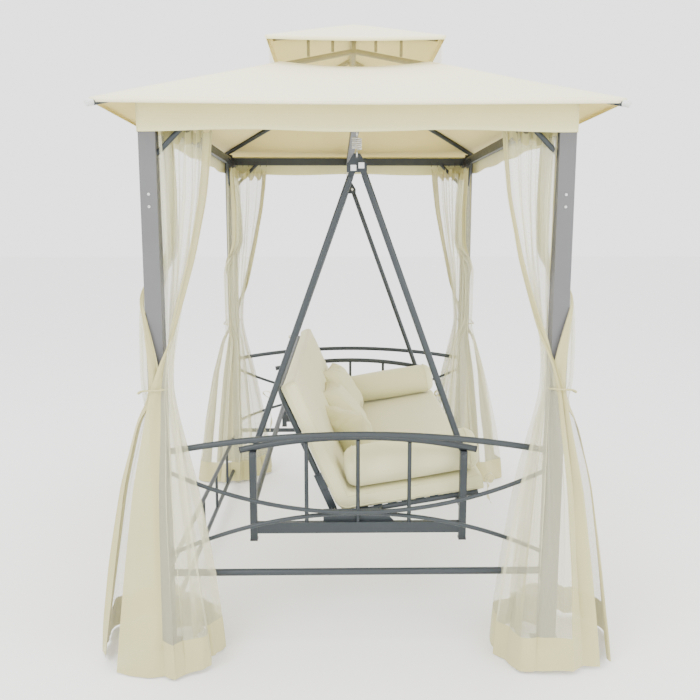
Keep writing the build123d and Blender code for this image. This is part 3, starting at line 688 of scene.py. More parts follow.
class MakeRoof(bpy.types.Operator):
    """Make both tiers of roof cloth, the vent netting and the valance"""
    bl_idname = "swing_bench.make_roof"
    bl_label = "Make Roof Cloth"

    def execute(self, context):
        scene = context.scene
        cloth = scene.swing_cloth
        finish = scene.swing_finish
        top = woven_cloth("Canopy cloth", finish.canopy, crease=0.003, amount=0.04)
        # The underside material is a painted-shade copy of the canopy cloth: shade and light through the cloth,
        # painted darker and yellower on the roof's lower faces.
        under = woven_cloth("Canopy underside", finish.underside_painted_shade, crease=0.003, amount=0.08)
        lower = roof_skin("lower_roof_cloth", ROOF_HIGH[1], 0.281, lower_height, cloth.roof_sag, cloth.hem)
        upper = roof_skin("upper_roof_cloth", TOP_HIGH[1], 0.001, upper_height, 0.006, cloth.hem, rows=14,
                          mouth_droop=0.0)
        for obj, node, size in ((lower, "lower_canopy", (2.30, 1.70)), (upper, "upper_canopy", (1.30, 0.70))):
            set_material(obj, top, under)
            thicken(obj, 0.0012)
            finish_piece(obj, "gazebo", "canopy_fabric", node)
        net = band_around("roof_vent_netting", NET_HIGH[0] - 0.001, NET_HIGH[1] - 0.001,
                          lambda place, along, side: NET_LOW[2] - 0.016 * math.sin(math.pi * along),
                          NET_HIGH[2], 0.003)
        # The netting takes the painted-shade underside colour: the shade of the lower roof's opening behind it,
        # painted into the knit.
        set_material(net, sheer_mesh("Vent netting", finish.underside_painted_shade, 0.22))
        finish_piece(net, "gazebo", "netting", "vent_netting")

        def valance_foot(place, along, side):
            return VALANCE_LOW[2] + 0.004 * math.sin(14 * place[0] + 9 * place[1])

        valance = band_around("roof_valance", VALANCE_HIGH[0] - 0.001, VALANCE_HIGH[1] - 0.001, valance_foot,
                              VALANCE_HIGH[2], 0.0022)
        set_material(valance, woven_cloth("Valance cloth", finish.valance, crease=0.004, amount=0.05))
        thicken(valance, 0.0012, 0)
        finish_piece(valance, "gazebo", "canopy_fabric", "valance")
        self.stitch_eave(cloth, top)
        return {"FINISHED"}

    def stitch_eave(self, cloth, material):
        """A row of stitches just inside the eave's hem."""
        template = new_mesh("stitch", *stitch_shape())
        places = []
        turns = []
        reach = ROOF_HIGH[1] - 0.018
        half_x = RIDGE_X + reach
        for x, y, length, angle in ((0, -reach, half_x, 0.0), (0, reach, half_x, 0.0),
                                    (-half_x, 0, reach, math.pi / 2), (half_x, 0, reach, math.pi / 2)):
            count = int(2 * length / cloth.stitch_pitch)
            for index in range(count):
                along = -length + (index + 0.5) * 2 * length / count
                belly = math.cos(math.pi * along / (2 * length))
                z = lower_height(reach) - 0.006 * belly - cloth.roof_sag * belly ** 0.7 * 0.13
                places.append((x + along * math.cos(angle), y + along * math.sin(angle), z + 0.0004))
                turns.append((0, 0, angle))
        stitches = copies_at("eave_stitches", places, turns, template, 1.0, material)
        finish_piece(stitches, "gazebo", "canopy_fabric")


def stitch_shape():
    """Small rounded thread, 6 mm long along X."""
    points = []
    for x, radius in ((-0.003, 0.0002), (-0.002, 0.0006), (0.002, 0.0006), (0.003, 0.0002)):
        for step in range(6):
            angle = step * math.pi / 3
            points.append((x, radius * math.cos(angle), radius * math.sin(angle)))
    faces = grid_faces(4, 6, wrap=True) + [tuple(range(5, -1, -1)), tuple(range(18, 24))]
    return points, faces


# ------------------------------------------------------------------ curtains

# One half curtain at a few heights: height, then five guide points of its run as (inward, outward) from the
# post centre, from the edge at the post to the leading edge, and the depth of its folds. It hangs inside the
# beam, passes the post's free side, and is wrapped round the post from the tie down.
CURTAIN_RUN = (
    (1.842, (-0.018, -0.036), (0.038, -0.036), (0.096, -0.034), (0.155, -0.032), (0.212, -0.028), 0.011),
    (1.780, (-0.020, -0.038), (0.038, -0.040), (0.094, -0.038), (0.152, -0.036), (0.209, -0.030), 0.015),
    (1.600, (-0.022, -0.042), (0.036, -0.050), (0.088, -0.050), (0.138, -0.044), (0.186, -0.036), 0.019),
    (1.400, (-0.022, -0.044), (0.034, -0.054), (0.074, -0.052), (0.108, -0.038), (0.142, -0.024), 0.019),
    (1.280, (-0.022, -0.044), (0.032, -0.054), (0.064, -0.042), (0.084, -0.014), (0.110, 0.004), 0.017),
    (1.160, (-0.022, -0.044), (0.030, -0.052), (0.056, -0.020), (0.064, 0.018), (0.074, 0.042), 0.014),
    (1.040, (-0.020, -0.042), (0.032, -0.047), (0.049, 0.000), (0.046, 0.042), (0.014, 0.054), 0.010),
    (0.945, (-0.020, -0.040), (0.034, -0.041), (0.046, 0.003), (0.036, 0.042), (-0.026, 0.047), 0.008),
    (0.850, (-0.022, -0.046), (0.044, -0.047), (0.060, 0.006), (0.046, 0.058), (-0.044, 0.064), 0.013),
    (0.620, (-0.020, -0.066), (0.084, -0.060), (0.110, 0.030), (0.062, 0.124), (-0.088, 0.112), 0.020),
    (0.330, (-0.020, -0.084), (0.118, -0.080), (0.166, 0.050), (0.084, 0.184), (-0.126, 0.148), 0.022),
    (0.110, (-0.018, -0.092), (0.138, -0.088), (0.196, 0.060), (0.096, 0.216), (-0.150, 0.176), 0.020),
    (0.004, (-0.016, -0.096), (0.146, -0.092), (0.208, 0.064), (0.100, 0.228), (-0.160, 0.186), 0.014),
)
# From this height down, the half along the side is wrapped over the post's end face instead.
WRAPPED_RUN = (
    (1.280, (0.034, -0.034), (0.050, 0.000), (0.046, 0.044), (0.010, 0.046), (-0.026, 0.048), 0.010),
    (1.160, (0.034, -0.034), (0.046, 0.006), (0.022, 0.046), (-0.034, 0.044), (-0.043, 0.006), 0.008),
    (1.040, (0.034, -0.034), (0.045, 0.004), (0.020, 0.046), (-0.036, 0.044), (-0.045, -0.024), 0.007),
    (0.945, (0.034, -0.034), (0.044, 0.004), (0.020, 0.045), (-0.036, 0.043), (-0.045, -0.028), 0.006),
)
FOLD_SCALE = 1.25


def run_rows(wrapped):
    """Rows of the run from the top down, with the wrapped ones in place of those at their heights."""
    changed = {row[0]: row for row in WRAPPED_RUN} if wrapped else {}
    return [changed.get(row[0], row) for row in CURTAIN_RUN]


def curtain_shape(rows, wrapped):
    """Guide values at even steps of height, with the corners between the guide heights softened."""
    run = run_rows(wrapped)
    heights = np.array([row[0] for row in run])[::-1]
    guides = np.array([np.hstack(row[1:]) for row in run])[::-1]
    z_line = np.linspace(CURTAIN_RUN[0][0], CURTAIN_RUN[-1][0], rows)
    shape = np.stack([np.interp(z_line, heights, column) for column in guides.T], axis=1)
    for _ in range(10):
        shape[1:-1] = 0.25 * shape[:-2] + 0.5 * shape[1:-1] + 0.25 * shape[2:]
    return z_line, shape


def smooth_run(guides, t):
    """Catmull-Rom curve through the guide points, for t from 0 to 1."""
    padded = np.vstack([2 * guides[0] - guides[1], guides, 2 * guides[-1] - guides[-2]])
    spans = len(guides) - 1
    index = np.minimum((t * spans).astype(int), spans - 1)
    u = (t * spans - index)[:, None]
    a, b, c, d = (padded[index + k] for k in range(4))
    return 0.5 * (2 * b + (c - a) * u + (2 * a - 5 * b + 4 * c - d) * u * u + (3 * b - a - 3 * c + d) * u ** 3)


def keep_off_post(run, gap):
    """Points inside the post's square move out through its nearest side."""
    clear = POST_HALF + gap
    depth = clear - np.abs(run)
    inside = (depth > 0).all(axis=-1)
    first = depth[..., 0] < depth[..., 1]
    for axis, nearest in ((0, first), (1, ~first)):
        pushed = np.sign(run[..., axis] + 1e-9) * clear
        run[..., axis] = np.where(inside & nearest, pushed, run[..., axis])
    return run


def curtain_points(cloth, seed, wrapped, rows=130, columns=230):
    """Folded half curtain in post coordinates: inward along the beam, outward from it, and height."""
    rng = np.random.default_rng(seed)
    z_line, shape = curtain_shape(rows, wrapped)
    top = z_line[0]
    a = np.linspace(0, 1, columns)
    phase = rng.uniform(0, 2 * math.pi, 8)
    # Fold widths and depths differ across the cloth, and the same folds run down its whole length.
    warp = a + 0.034 * np.sin(2 * math.pi * 2 * a + phase[0]) + 0.016 * np.sin(2 * math.pi * 5 * a + phase[1])
    lobes = 0.64 + 0.22 * np.sin(2 * math.pi * 1.5 * a + phase[2]) + 0.14 * np.sin(2 * math.pi * 4 * a + phase[3])
    edge = smooth_step(a / 0.04) * smooth_step((1 - a) / 0.04)
    points = np.zeros((rows, columns, 3))
    for row in range(rows):
        level = z_line[row]
        depth = FOLD_SCALE * shape[row, 10]
        t = np.clip(a + 0.035 * np.sin(2 * math.pi * a + phase[4]), 0, 1)
        run = smooth_run(shape[row, :10].reshape(5, 2), t)
        tangent = np.gradient(run, axis=0)
        tangent /= np.linalg.norm(tangent, axis=1)[:, None] + 1e-9
        outward = np.stack([tangent[:, 1], -tangent[:, 0]], axis=1)
        sway = 0.55 * math.sin(1.9 * level + phase[5]) + 0.25 * math.sin(4.7 * level + phase[6])
        turn = 2 * math.pi * cloth.pleats * warp + phase[7] + sway
        # Small second folds come and go with height.
        small = 0.3 * np.sin(2 * math.pi * 2.3 * cloth.pleats * a + 3.1 * level + phase[3])
        fold = np.sin(turn) + small * math.sin(2.6 * level + phase[0]) ** 2
        run = run + outward * (depth * fold * lobes * (0.25 + 0.75 * edge))[:, None]
        run = run + tangent * (0.4 * depth * np.sin(2 * turn) * lobes * edge)[:, None]
        points[row, :, :2] = run
        points[row, :, 2] = level
    # The binding droops between its clips, and the droop fades out below it.
    droop = 0.034 * np.abs(np.sin(math.pi * 5 * np.clip((a - 0.2) / 0.8, 0, 1))) ** 1.2
    fade = np.clip(1 - (top - z_line) / 0.35, 0, 1) ** 1.5
    points[:, :, 2] -= droop[None, :] * fade[:, None]
    # The hem stands on the ground in soft waves.
    lift = 0.007 * (1 + np.sin(3 * math.pi * a + phase[2]))
    points[:, :, 2] += lift[None, :] * np.clip(1 - z_line / 0.2, 0, 1)[:, None]
    points[:, :, :2] = keep_off_post(points[:, :, :2], 0.0035)
    drop = top - z_line
    uv = [(column * cloth.panel_width / (columns - 1), drop[row]) for row in range(rows) for column in range(columns)]
    return points, uv, rows, columns


def place_at_corner(points, corner, along_end):
    """Turn post coordinates into the frame: along an end beam or along a side beam."""
    side_x, side_y = corner
    inward = points[..., 0]
    outward = points[..., 1]
    placed = np.empty_like(points)
    if along_end:
        placed[..., 0] = side_x * (POST[0] + outward)
        placed[..., 1] = side_y * (POST[1] - inward)
    else:
        placed[..., 0] = side_x * (POST[0] - inward)
        placed[..., 1] = side_y * (POST[1] + outward)
    placed[..., 2] = points[..., 2]
    return placed


def tie_loop(name, corner, radius):
    """Thin cord loop around the post and both gathered curtains."""
    side_x, side_y = corner
    near = -POST_HALF - 0.0035
    far = 0.0585
    middle = (near + far) / 2
    half = (far - near) / 2
    path = []
    for step in range(72):
        angle = 2 * math.pi * step / 72
        # A rounded square from a superellipse.
        cos, sin = math.cos(angle), math.sin(angle)
        power = 2 / 7
        x = middle + half * math.copysign(abs(cos) ** power, cos)
        y = middle + half * math.copysign(abs(sin) ** power, sin)
        slant = 0.011 * (cos * 0.8 - sin * 0.6)
        path.append((side_x * (POST[0] + x), side_y * (POST[1] + y), (TIE_LOW[2] + TIE_HIGH[2]) / 2 + slant))
    return tube_along(name, path, radius, 8, closed=True)


class MakeCurtains(bpy.types.Operator):
    """Make the eight half curtains, gathered and tied at their posts"""
    bl_idname = "swing_bench.make_curtains"
    bl_label = "Make Curtains"

    def execute(self, context):
        cloth = context.scene.swing_cloth
        finish = context.scene.swing_finish
        height = CURTAIN_RUN[0][0] - CURTAIN_RUN[-1][0]
        material = curtain_cloth("Curtain cloth", finish, cloth, height)
        seed = 3
        for corner in CORNERS:
            for along_end in (True, False):
                seed += 1
                points, uv, rows, columns = curtain_points(cloth, seed, not along_end)
                placed = place_at_corner(points, corner, along_end)
                part = "end" if along_end else "side"
                name = f"curtain_{part}_{CORNER_NAMES[corner]}"
                obj = new_mesh(name, placed.reshape(-1, 3), grid_faces(rows, columns), uv)
                set_material(obj, material)
                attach(obj, "gazebo")
            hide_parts(f"curtain_{CORNER_NAMES[corner]}")
        self.make_ties(finish)
        self.make_clips(context)
        return {"FINISHED"}

    def make_ties(self, finish):
        cord = woven_cloth("Tie cord", finish.border, yarns=1500)
        loops = [tie_loop(f"curtain_tie_{CORNER_NAMES[corner]}", corner, 0.0030) for corner in CORNERS]
        for loop in loops:
            set_material(loop, cord)
            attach(loop, "gazebo")
        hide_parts("tie_bands")

    def make_clips(self, context):
        """Open hooks over the beams' lower edges, one at each end of every droop."""
        plastic = moulded_plastic("Curtain clip plastic", context.scene.swing_finish.plastic)
        template = clip_shape()
        places = []
        turns = []
        for corner in CORNERS:
            for along_end in (True, False):
                for index in range(6):
                    place = np.array([[0.04 + 0.034 * index, -0.0185, BEAM_BOTTOM + 0.004]])
                    spot = place_at_corner(place, corner, along_end)[0]
                    places.append(spot)
                    turns.append((0, 0, 0.0 if along_end else math.pi / 2))
        clips = copies_at("curtain_clips", places, turns, template, 1.0, plastic)
        finish_piece(clips, "gazebo", "black_plastic", "curtain_hooks")


def clip_shape():
    """S-shaped wire clip, standing in the X-Z plane."""
    path = []
    for step in range(9):
        angle = math.pi * (0.1 + 1.15 * step / 8)
        path.append((0.0045 * math.cos(angle), 0, 0.011 + 0.0045 * math.sin(angle)))
    for step in range(9):
        angle = math.pi * (0.25 - 1.2 * step / 8)
        path.append((0.0045 * math.cos(angle), 0, -0.008 + 0.0045 * math.sin(angle)))
    return tube_along("clip", path, 0.0016, 6)


# ------------------------------------------------------------------ cushions

def plump(obj, voxel, pressure, cap):
    """Puff a closed shape with cloth pressure. No point moves further than the cap."""
    remesh = obj.modifiers.new("Even mesh", "REMESH")
    remesh.mode = "VOXEL"
    remesh.voxel_size = voxel
    modifier_applied(obj)
    before = np.array([v.co for v in obj.data.vertices])
    cloth = obj.modifiers.new("Stuffing", "CLOTH")
    cloth.settings.use_pressure = True
    cloth.settings.uniform_pressure_force = pressure
    cloth.settings.effector_weights.gravity = 0
    cloth.settings.quality = 5
    cloth.point_cache.frame_start = 1
    cloth.point_cache.frame_end = 20
    for step in range(1, 21):
        bpy.context.scene.frame_set(step)
    modifier_applied(obj)
    bpy.context.scene.frame_set(1)
    after = np.array([v.co for v in obj.data.vertices])
    move = after - before
    length = np.linalg.norm(move, axis=1)
    scale = np.where(length > cap, cap / np.maximum(length, 1e-9), 1.0)
    settled = before + move * scale[:, None]
    obj.data.vertices.foreach_set("co", settled.astype(np.float32).ravel())
    obj.data.update()
    obj.data.shade_smooth()
    return obj


class CushionPlanes:
    """The planes that the seat and back cushions lie on, worked out from their CAD boxes."""

    def __init__(self):
        self.seat_tilt = math.radians(9.4)
        self.back_tilt = math.radians(23.7)
        self.thickness = 0.060
        self.half_length = node_box("mattress_seat")[1][0]
        self.seat_rear = np.array((0.005, 0.4355))
        self.seat_length = 0.506
        self.back_foot = np.array((0.070, 0.440))
        self.back_height = 0.522
        self.forward = np.array((-math.cos(self.seat_tilt), math.sin(self.seat_tilt)))
        self.seat_up = np.array((math.sin(self.seat_tilt), math.cos(self.seat_tilt)))
        self.back_up = np.array((math.sin(self.back_tilt), math.cos(self.back_tilt)))
        self.back_front = np.array((-math.cos(self.back_tilt), math.sin(self.back_tilt)))

    def push_clear(self, points, gap=0.0015):
        """Move points in front of the back cushion and above the seat cushion."""
        flat = points[:, 1:3]
        top = self.seat_rear + self.seat_up * (self.thickness + gap)
        depth = (flat - top) @ self.seat_up
        flat = flat - np.minimum(depth, 0)[:, None] * self.seat_up
        face = self.back_foot + self.back_front * (self.thickness + gap)
        depth = (flat - face) @ self.back_front
        flat = flat - np.minimum(depth, 0)[:, None] * self.back_front
        out = points.copy()
        out[:, 1:3] = flat
        return out


def mattress_centre_line(planes, count=90):
    """Middle of the mattress in Y and Z, from the seat's front edge, round the fold, to the back's top."""
    half = planes.thickness / 2
    seat_start = planes.seat_rear + planes.seat_up * half + planes.forward * planes.seat_length
    seat_end = planes.seat_rear + planes.seat_up * half
    back_start = planes.back_foot + planes.back_front * half
    back_end = back_start + planes.back_up * planes.back_height
    matrix = np.array([planes.forward, -planes.back_up]).T
    along, _ = np.linalg.solve(matrix, back_start - seat_end)
    fold = seat_end + planes.forward * along
    radius = 0.016
    before = fold + planes.forward * radius
    after = fold + planes.back_up * radius
    line = []
    for step in range(count):
        line.append(seat_start + (before - seat_start) * step / count)
    for step in range(14):
        t = step / 14
        line.append((1 - t) ** 2 * before + 2 * (1 - t) * t * fold + t ** 2 * after)
    for step in range(count + 1):
        line.append(after + (back_end - after) * step / count)
    return np.array(line)


def mattress_mesh(name, planes, shrink):
    """Rounded slab along the folded centre line, closed at both ends."""
    line = mattress_centre_line(planes)
    tangent = np.gradient(line, axis=0)
    tangent /= np.linalg.norm(tangent, axis=1)[:, None]
    upward = np.stack([tangent[:, 1], -tangent[:, 0]], axis=1)
    if upward[0, 1] < 0:
        upward = -upward
    steps = np.concatenate([[0], np.cumsum(np.linalg.norm(np.diff(line, axis=0), axis=1))])
    length = steps[-1]
    half_thick = planes.thickness / 2 - shrink
    half_wide = planes.half_length - shrink
    rounding = 0.011
    samples = 90
    corner = 6
    profile = []
    inner_x = half_wide - rounding
    inner_h = half_thick - rounding
    for index in range(samples + 1):
        profile.append((-inner_x + 2 * inner_x * index / samples, half_thick))
    for index in range(1, corner + 1):
        angle = math.pi / 2 * (1 - index / corner)
        profile.append((inner_x + rounding * math.cos(angle), inner_h + rounding * math.sin(angle)))
    lower = [(x, -h) for x, h in reversed(profile)]
    left = []
    for index in range(1, corner):
        left.append((-inner_x - rounding * math.sin(math.pi / 2 * index / corner),
                     -inner_h - rounding * math.cos(math.pi / 2 * index / corner)))
    upper_left = [(x, -h) for x, h in reversed(left)]
    profile = profile + lower + left + [(-half_wide, -inner_h), (-half_wide, inner_h)] + upper_left
    points = []
    for index in range(len(line)):
        end = min(steps[index], length - steps[index]) + 0.0006
        squeeze = math.sqrt(max(0.0, 1 - (1 - min(1.0, end / rounding)) ** 2))
        squeeze = (inner_h + (half_thick - inner_h) * squeeze) / half_thick
        for x, h in profile:
            across = h * squeeze
            if h < 0:
                # The rim hangs a little over the seat's rails.
                across -= 0.004 + 0.007 * float(smooth_step((abs(x) - half_wide + 0.04) / 0.03))
            y, z = line[index] + upward[index] * across
            points.append((x, y, z))
    count = len(profile)
    faces = grid_faces(len(line), count, wrap=True)
    faces.append(tuple(range(count - 1, -1, -1)))
    faces.append(tuple((len(line) - 1) * count + k for k in range(count)))
    obj = new_mesh(name, points, faces)
    face_out(obj)
    return obj, line, upward


def snapped(points, obj, lift):
    """Points moved to the nearest place on a mesh, lifted off it along its normal."""
    tree = BVHTree.FromObject(obj, bpy.context.evaluated_depsgraph_get())
    out = []
    for point in points:
        place, normal, _, _ = tree.find_nearest(Vector(point))
        out.append(place + normal * lift)
    return out


class MakeMattress(bpy.types.Operator):
    """Make the folding mattress with its piping"""
    bl_idname = "swing_bench.make_mattress"
    bl_label = "Make Mattress"

    def execute(self, context):
        finish = context.scene.swing_finish
        cushion = context.scene.swing_cushion
        planes = CushionPlanes()
        obj, line, upward = mattress_mesh("mattress", planes, 0.003)
        plump(obj, 0.0120, cushion.pressure, 0.005)
        material = woven_cloth("Mattress cloth", finish.cushion, crease=0.004)
        set_material(obj, material)
        piping = []
        half = planes.thickness / 2 - 0.004
        for side in (-1, 1):
            for level in (-1, 1):
                path = []
                edge_x = side * (planes.half_length - 0.010)
                for index in range(2, len(line) - 2):
                    y, z = line[index] + upward[index] * half * level * 0.82
                    path.append((edge_x, y, z))
                piping.append(tube_along(f"mattress_piping_{len(piping)}", snapped(path, obj, 0.001),
                                         cushion.piping / 2, 6))
        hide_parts("mattress_seat", "mattress_back")
        for piece in [obj] + piping:
            if piece is not obj:
                set_material(piece, material)
            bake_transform(piece)
        return {"FINISHED"}


def bolster_mesh(name, radius, length, shrink):
    """Soft bolster along Y about the origin, with domed ends, wider than it is high where it rests."""
    radius = radius - shrink
    half = length / 2 - shrink
    dome = 0.052
    profile = [(-half, 0.0004)]
    for step in range(1, 20):
        angle = math.pi / 2 * step / 20
        profile.append((-half + dome * (1 - math.cos(angle)), radius * (0.42 + 0.58 * math.sin(angle))
                        if step > 5 else radius * 0.575 * step / 6))
    for step in range(41):
        t = step / 40
        profile.append((-half + dome + 2 * (half - dome) * t, radius * (1 - 0.010 * math.cos(2 * math.pi * t))))
    profile += [(-y, r) for y, r in reversed(profile[:20])]
    sides = 96
    points = []
    for y, r in profile:
        for step in range(sides):
            angle = 2 * math.pi * step / sides
            pucker = 1 + 0.007 * math.cos(14 * angle) * math.exp(-((half - abs(y)) / 0.05) ** 2)
            x = r * pucker * math.cos(angle)
            z = r * pucker * math.sin(angle)
            points.append((x * 1.02, y, z * 0.93 if z > 0 else z * 0.90))
    faces = grid_faces(len(profile), sides, wrap=True)
    faces.append(tuple(range(sides - 1, -1, -1)))
    faces.append(tuple((len(profile) - 1) * sides + step for step in range(sides)))
    obj = new_mesh(name, points, faces)
    face_out(obj)
    return obj


class MakeBolsters(bpy.types.Operator):
    """Make the two bolsters with piped ends"""
    bl_idname = "swing_bench.make_bolsters"
    bl_label = "Make Bolsters"

    def execute(self, context):
        finish = context.scene.swing_finish
        cushion = context.scene.swing_cushion
        material = woven_cloth("Bolster cloth", finish.cushion, crease=0.003)
        tilt = CushionPlanes().seat_tilt
        for end in ("left", "right"):
            low, high = node_box(f"bolster_{end}")
            radius = (high[0] - low[0]) / 2
            # Soft filling settles: the bolster sits lower than a round one, and reaches a little further forward.
            centre = Vector((low + high) / 2) + Vector((0, -0.010, 0.0015 - 0.085 * radius))
            obj = bolster_mesh(f"bolster_cushion_{end}", radius, 0.528, 0.003)
            plump(obj, 0.007, cushion.pressure, 0.004)
            rings = []
            for face in (-1, 1):
                path = [(radius * math.cos(a), face * 0.222, radius * math.sin(a))
                        for a in np.linspace(0, 2 * math.pi, 64, endpoint=False)]
                rings.append(tube_along(f"bolster_piping_{end}_{len(rings)}", snapped(path, obj, 0.0008),
                                        cushion.piping / 2, 6, closed=True))
            for piece in [obj] + rings:
                coordinates = np.array([v.co for v in piece.data.vertices])
                turned = coordinates @ np.array(Euler((-tilt, 0, 0)).to_matrix()).T + np.array(centre)
                piece.data.vertices.foreach_set("co", turned.astype(np.float32).ravel())
                piece.data.update()
                set_material(piece, material)
                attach(piece, "bench")
            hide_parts(f"bolster_{end}")
        return {"FINISHED"}


def pillow_mesh(name, size, depth, seed):
    """Square pillow in the X-Z plane: full in the middle, with sides pulled in and pinched corners."""
    rng = np.random.default_rng(seed)
    phase = rng.uniform(0, 6.28, 6)
    count = 56
    half = size / 2
    points = []
    faces = []
    for face in (-1, 1):
        for i in range(count + 1):
            for j in range(count + 1):
                u = -1 + 2 * i / count
                v = -1 + 2 * j / count
                pull = 0.075
                x = half * u * (1 - pull * (1 - v * v) * abs(u) ** 3)
                z = half * v * (1 - pull * (1 - u * u) * abs(v) ** 3)
                full = max(0.0, (1 - u ** 4) * (1 - v ** 4)) ** 0.55
                edge = 1 - max(abs(u), abs(v))
                wrinkle = 0.004 * math.exp(-edge / 0.22) * math.sin(11 * (u + v) + phase[face]) * min(1, edge * 12)
                y = face * (depth / 2 * full) + face * wrinkle
                points.append((x, y, z))
    side = (count + 1) ** 2
    for face in (0, 1):
        for i in range(count):
            for j in range(count):
                a = face * side + i * (count + 1) + j
                quad = (a, a + 1, a + count + 2, a + count + 1)
                faces.append(quad if face else quad[::-1])
    obj = new_mesh(name, points, faces)
    face_out(obj)
    return obj


# Each pillow: name, centre, turn about the upright and lean back in degrees.
PILLOWS = (
    ("pillow_far", (0.415, 0.048, 0.640), -12, 34, 1.0),
    ("pillow_middle", (0.020, 0.040, 0.628), -4, 40, 1.0),
    ("pillow_near", (-0.330, 0.016, 0.592), 42, 26, 0.97),
)


class MakePillows(bpy.types.Operator):
    """Make the three throw pillows that lean on the back"""
    bl_idname = "swing_bench.make_pillows"
    bl_label = "Make Pillows"

    def execute(self, context):
        finish = context.scene.swing_finish
        cushion = context.scene.swing_cushion
        material = woven_cloth("Pillow cloth", finish.cushion, crease=0.005)
        planes = CushionPlanes()
        for index, (name, centre, turn, lean, scale) in enumerate(PILLOWS):
            obj = pillow_mesh(name, cushion.pillow_size * scale, cushion.pillow_depth * 0.82, 11 + index)
            plump(obj, 0.0065, cushion.pressure, 0.012)
            matrix = Euler((0, 0, math.radians(turn))).to_matrix() @ Euler((math.radians(-lean), 0, 0)).to_matrix()
            coordinates = np.array([v.co for v in obj.data.vertices])
            placed = coordinates @ np.array(matrix).T + np.array(centre)
            placed = planes.push_clear(placed)
            obj.data.vertices.foreach_set("co", placed.astype(np.float32).ravel())
            obj.data.update()
            set_material(obj, material)
            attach(obj, "backrest")
        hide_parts("pillows")
        return {"FINISHED"}


def ribbon(name, route, width, flat_way, material, body):
    """Tie ribbon that follows a smooth route, its width along flat_way and turning a little."""
    path = np.array(route, float)
    steps = np.linspace(0, len(path) - 1, 12 * (len(path) - 1) + 1)
    # A Catmull-Rom curve through the route.
    padded = np.vstack([2 * path[0] - path[1], path, 2 * path[-1] - path[-2]])
    centre = []
    for value in steps:
        index = min(int(value), len(path) - 2)
        t = value - index
        a, b, c, d = padded[index:index + 4]
        centre.append(0.5 * (2 * b + (c - a) * t + (2 * a - 5 * b + 4 * c - d) * t * t
                             + (3 * b - a - 3 * c + d) * t ** 3))
    centre = np.array(centre)
    points = []
    columns = 5
    for index, place in enumerate(centre):
        tangent = Vector(centre[min(index + 1, len(centre) - 1)] - centre[max(index - 1, 0)]).normalized()
        across = Vector(flat_way) - tangent * Vector(flat_way).dot(tangent)
        across = (Euler((0, 0, 0.35 * math.sin(0.4 * index))).to_matrix() @ across).normalized()
        bow = tangent.cross(across)
        for column in range(columns):
            side = -1 + 2 * column / (columns - 1)
            points.append(Vector(place) + across * side * width / 2 + bow * 0.0012 * (1 - side * side))
    obj = new_mesh(name, points, grid_faces(len(centre), columns))
    set_material(obj, material)
    thicken(obj, 0.0008, 0)
    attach(obj, body)
    return obj


class MakeRibbons(bpy.types.Operator):
    """Make the mattress' tie ribbons at its front corners and behind its top"""
    bl_idname = "swing_bench.make_ribbons"
    bl_label = "Make Ribbons"

    def execute(self, context):
        finish = context.scene.swing_finish
        planes = CushionPlanes()
        material = woven_cloth("Ribbon cloth", finish.cushion, yarns=1400)
        front = planes.seat_rear + planes.seat_up * 0.03 + planes.forward * (planes.seat_length + 0.004)
        top = planes.back_foot + planes.back_up * (planes.back_height - 0.03) - planes.back_front * 0.046
        for side, end in ((-1, "left"), (1, "right")):
            x = side * (planes.half_length - 0.02)
            y, z = front
            ribbon(f"front_bow_{end}", [(x, y, z), (x - side * 0.004, y - 0.020, z + 0.020),
                                        (x, y - 0.040, z + 0.004), (x + side * 0.003, y - 0.022, z - 0.014),
                                        (x, y - 0.002, z - 0.002)], 0.022, (side, 0.2, 0), material, "bench")
            ribbon(f"front_tail_{end}", [(x, y - 0.003, z - 0.002), (x + side * 0.006, y - 0.014, z - 0.030),
                                         (x + side * 0.004, y - 0.012, z - 0.062),
                                         (x + side * 0.010, y - 0.026, z - 0.094)],
                   0.018, (side, 0.3, 0), material, "bench")
            y, z = top
            ribbon(f"back_bow_{end}", [(x, y, z), (x, y + 0.020, z + 0.018), (x - side * 0.004, y + 0.040, z + 0.014),
                                       (x, y + 0.022, z - 0.002), (x, y, z - 0.002)],
                   0.012, (side, 0, 0.2), material, "backrest")
            ribbon(f"back_tail_{end}", [(x, y + 0.002, z), (x, y + 0.016, z - 0.040),
                                        (x - side * 0.006, y + 0.010, z - 0.090), (x, y + 0.016, z - 0.135)],
                   0.012, (side, 0.2, 0), material, "backrest")
        return {"FINISHED"}


# ------------------------------------------------------------------ hardware

class MakeSprings(bpy.types.Operator):
    """Make the suspension springs as fixed coils; the real ones stretch as the bench is loaded"""
    bl_idname = "swing_bench.make_springs"
    bl_label = "Make Springs"

    def execute(self, context):
        low, high = node_box("springs")
        radius = (high[1] - low[1]) / 2
        wire = 0.0025
        zinc = zinc_steel("Spring steel", (0.62, 0.62, 0.60))
        x = high[0] - radius
        places = [(-x, 0, low[2] + wire), (x, 0, low[2] + wire)]
        coils = new_mesh("suspension_springs", places, [], smooth=False)
        run_tree(coils, coil_tree(), {"Turns": 6.0, "Radius": radius - wire, "Height": high[2] - low[2] - 2 * wire,
                                      "Wire": wire, "Finish": zinc})
        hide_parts("springs")
        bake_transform(coils)
        return {"FINISHED"}


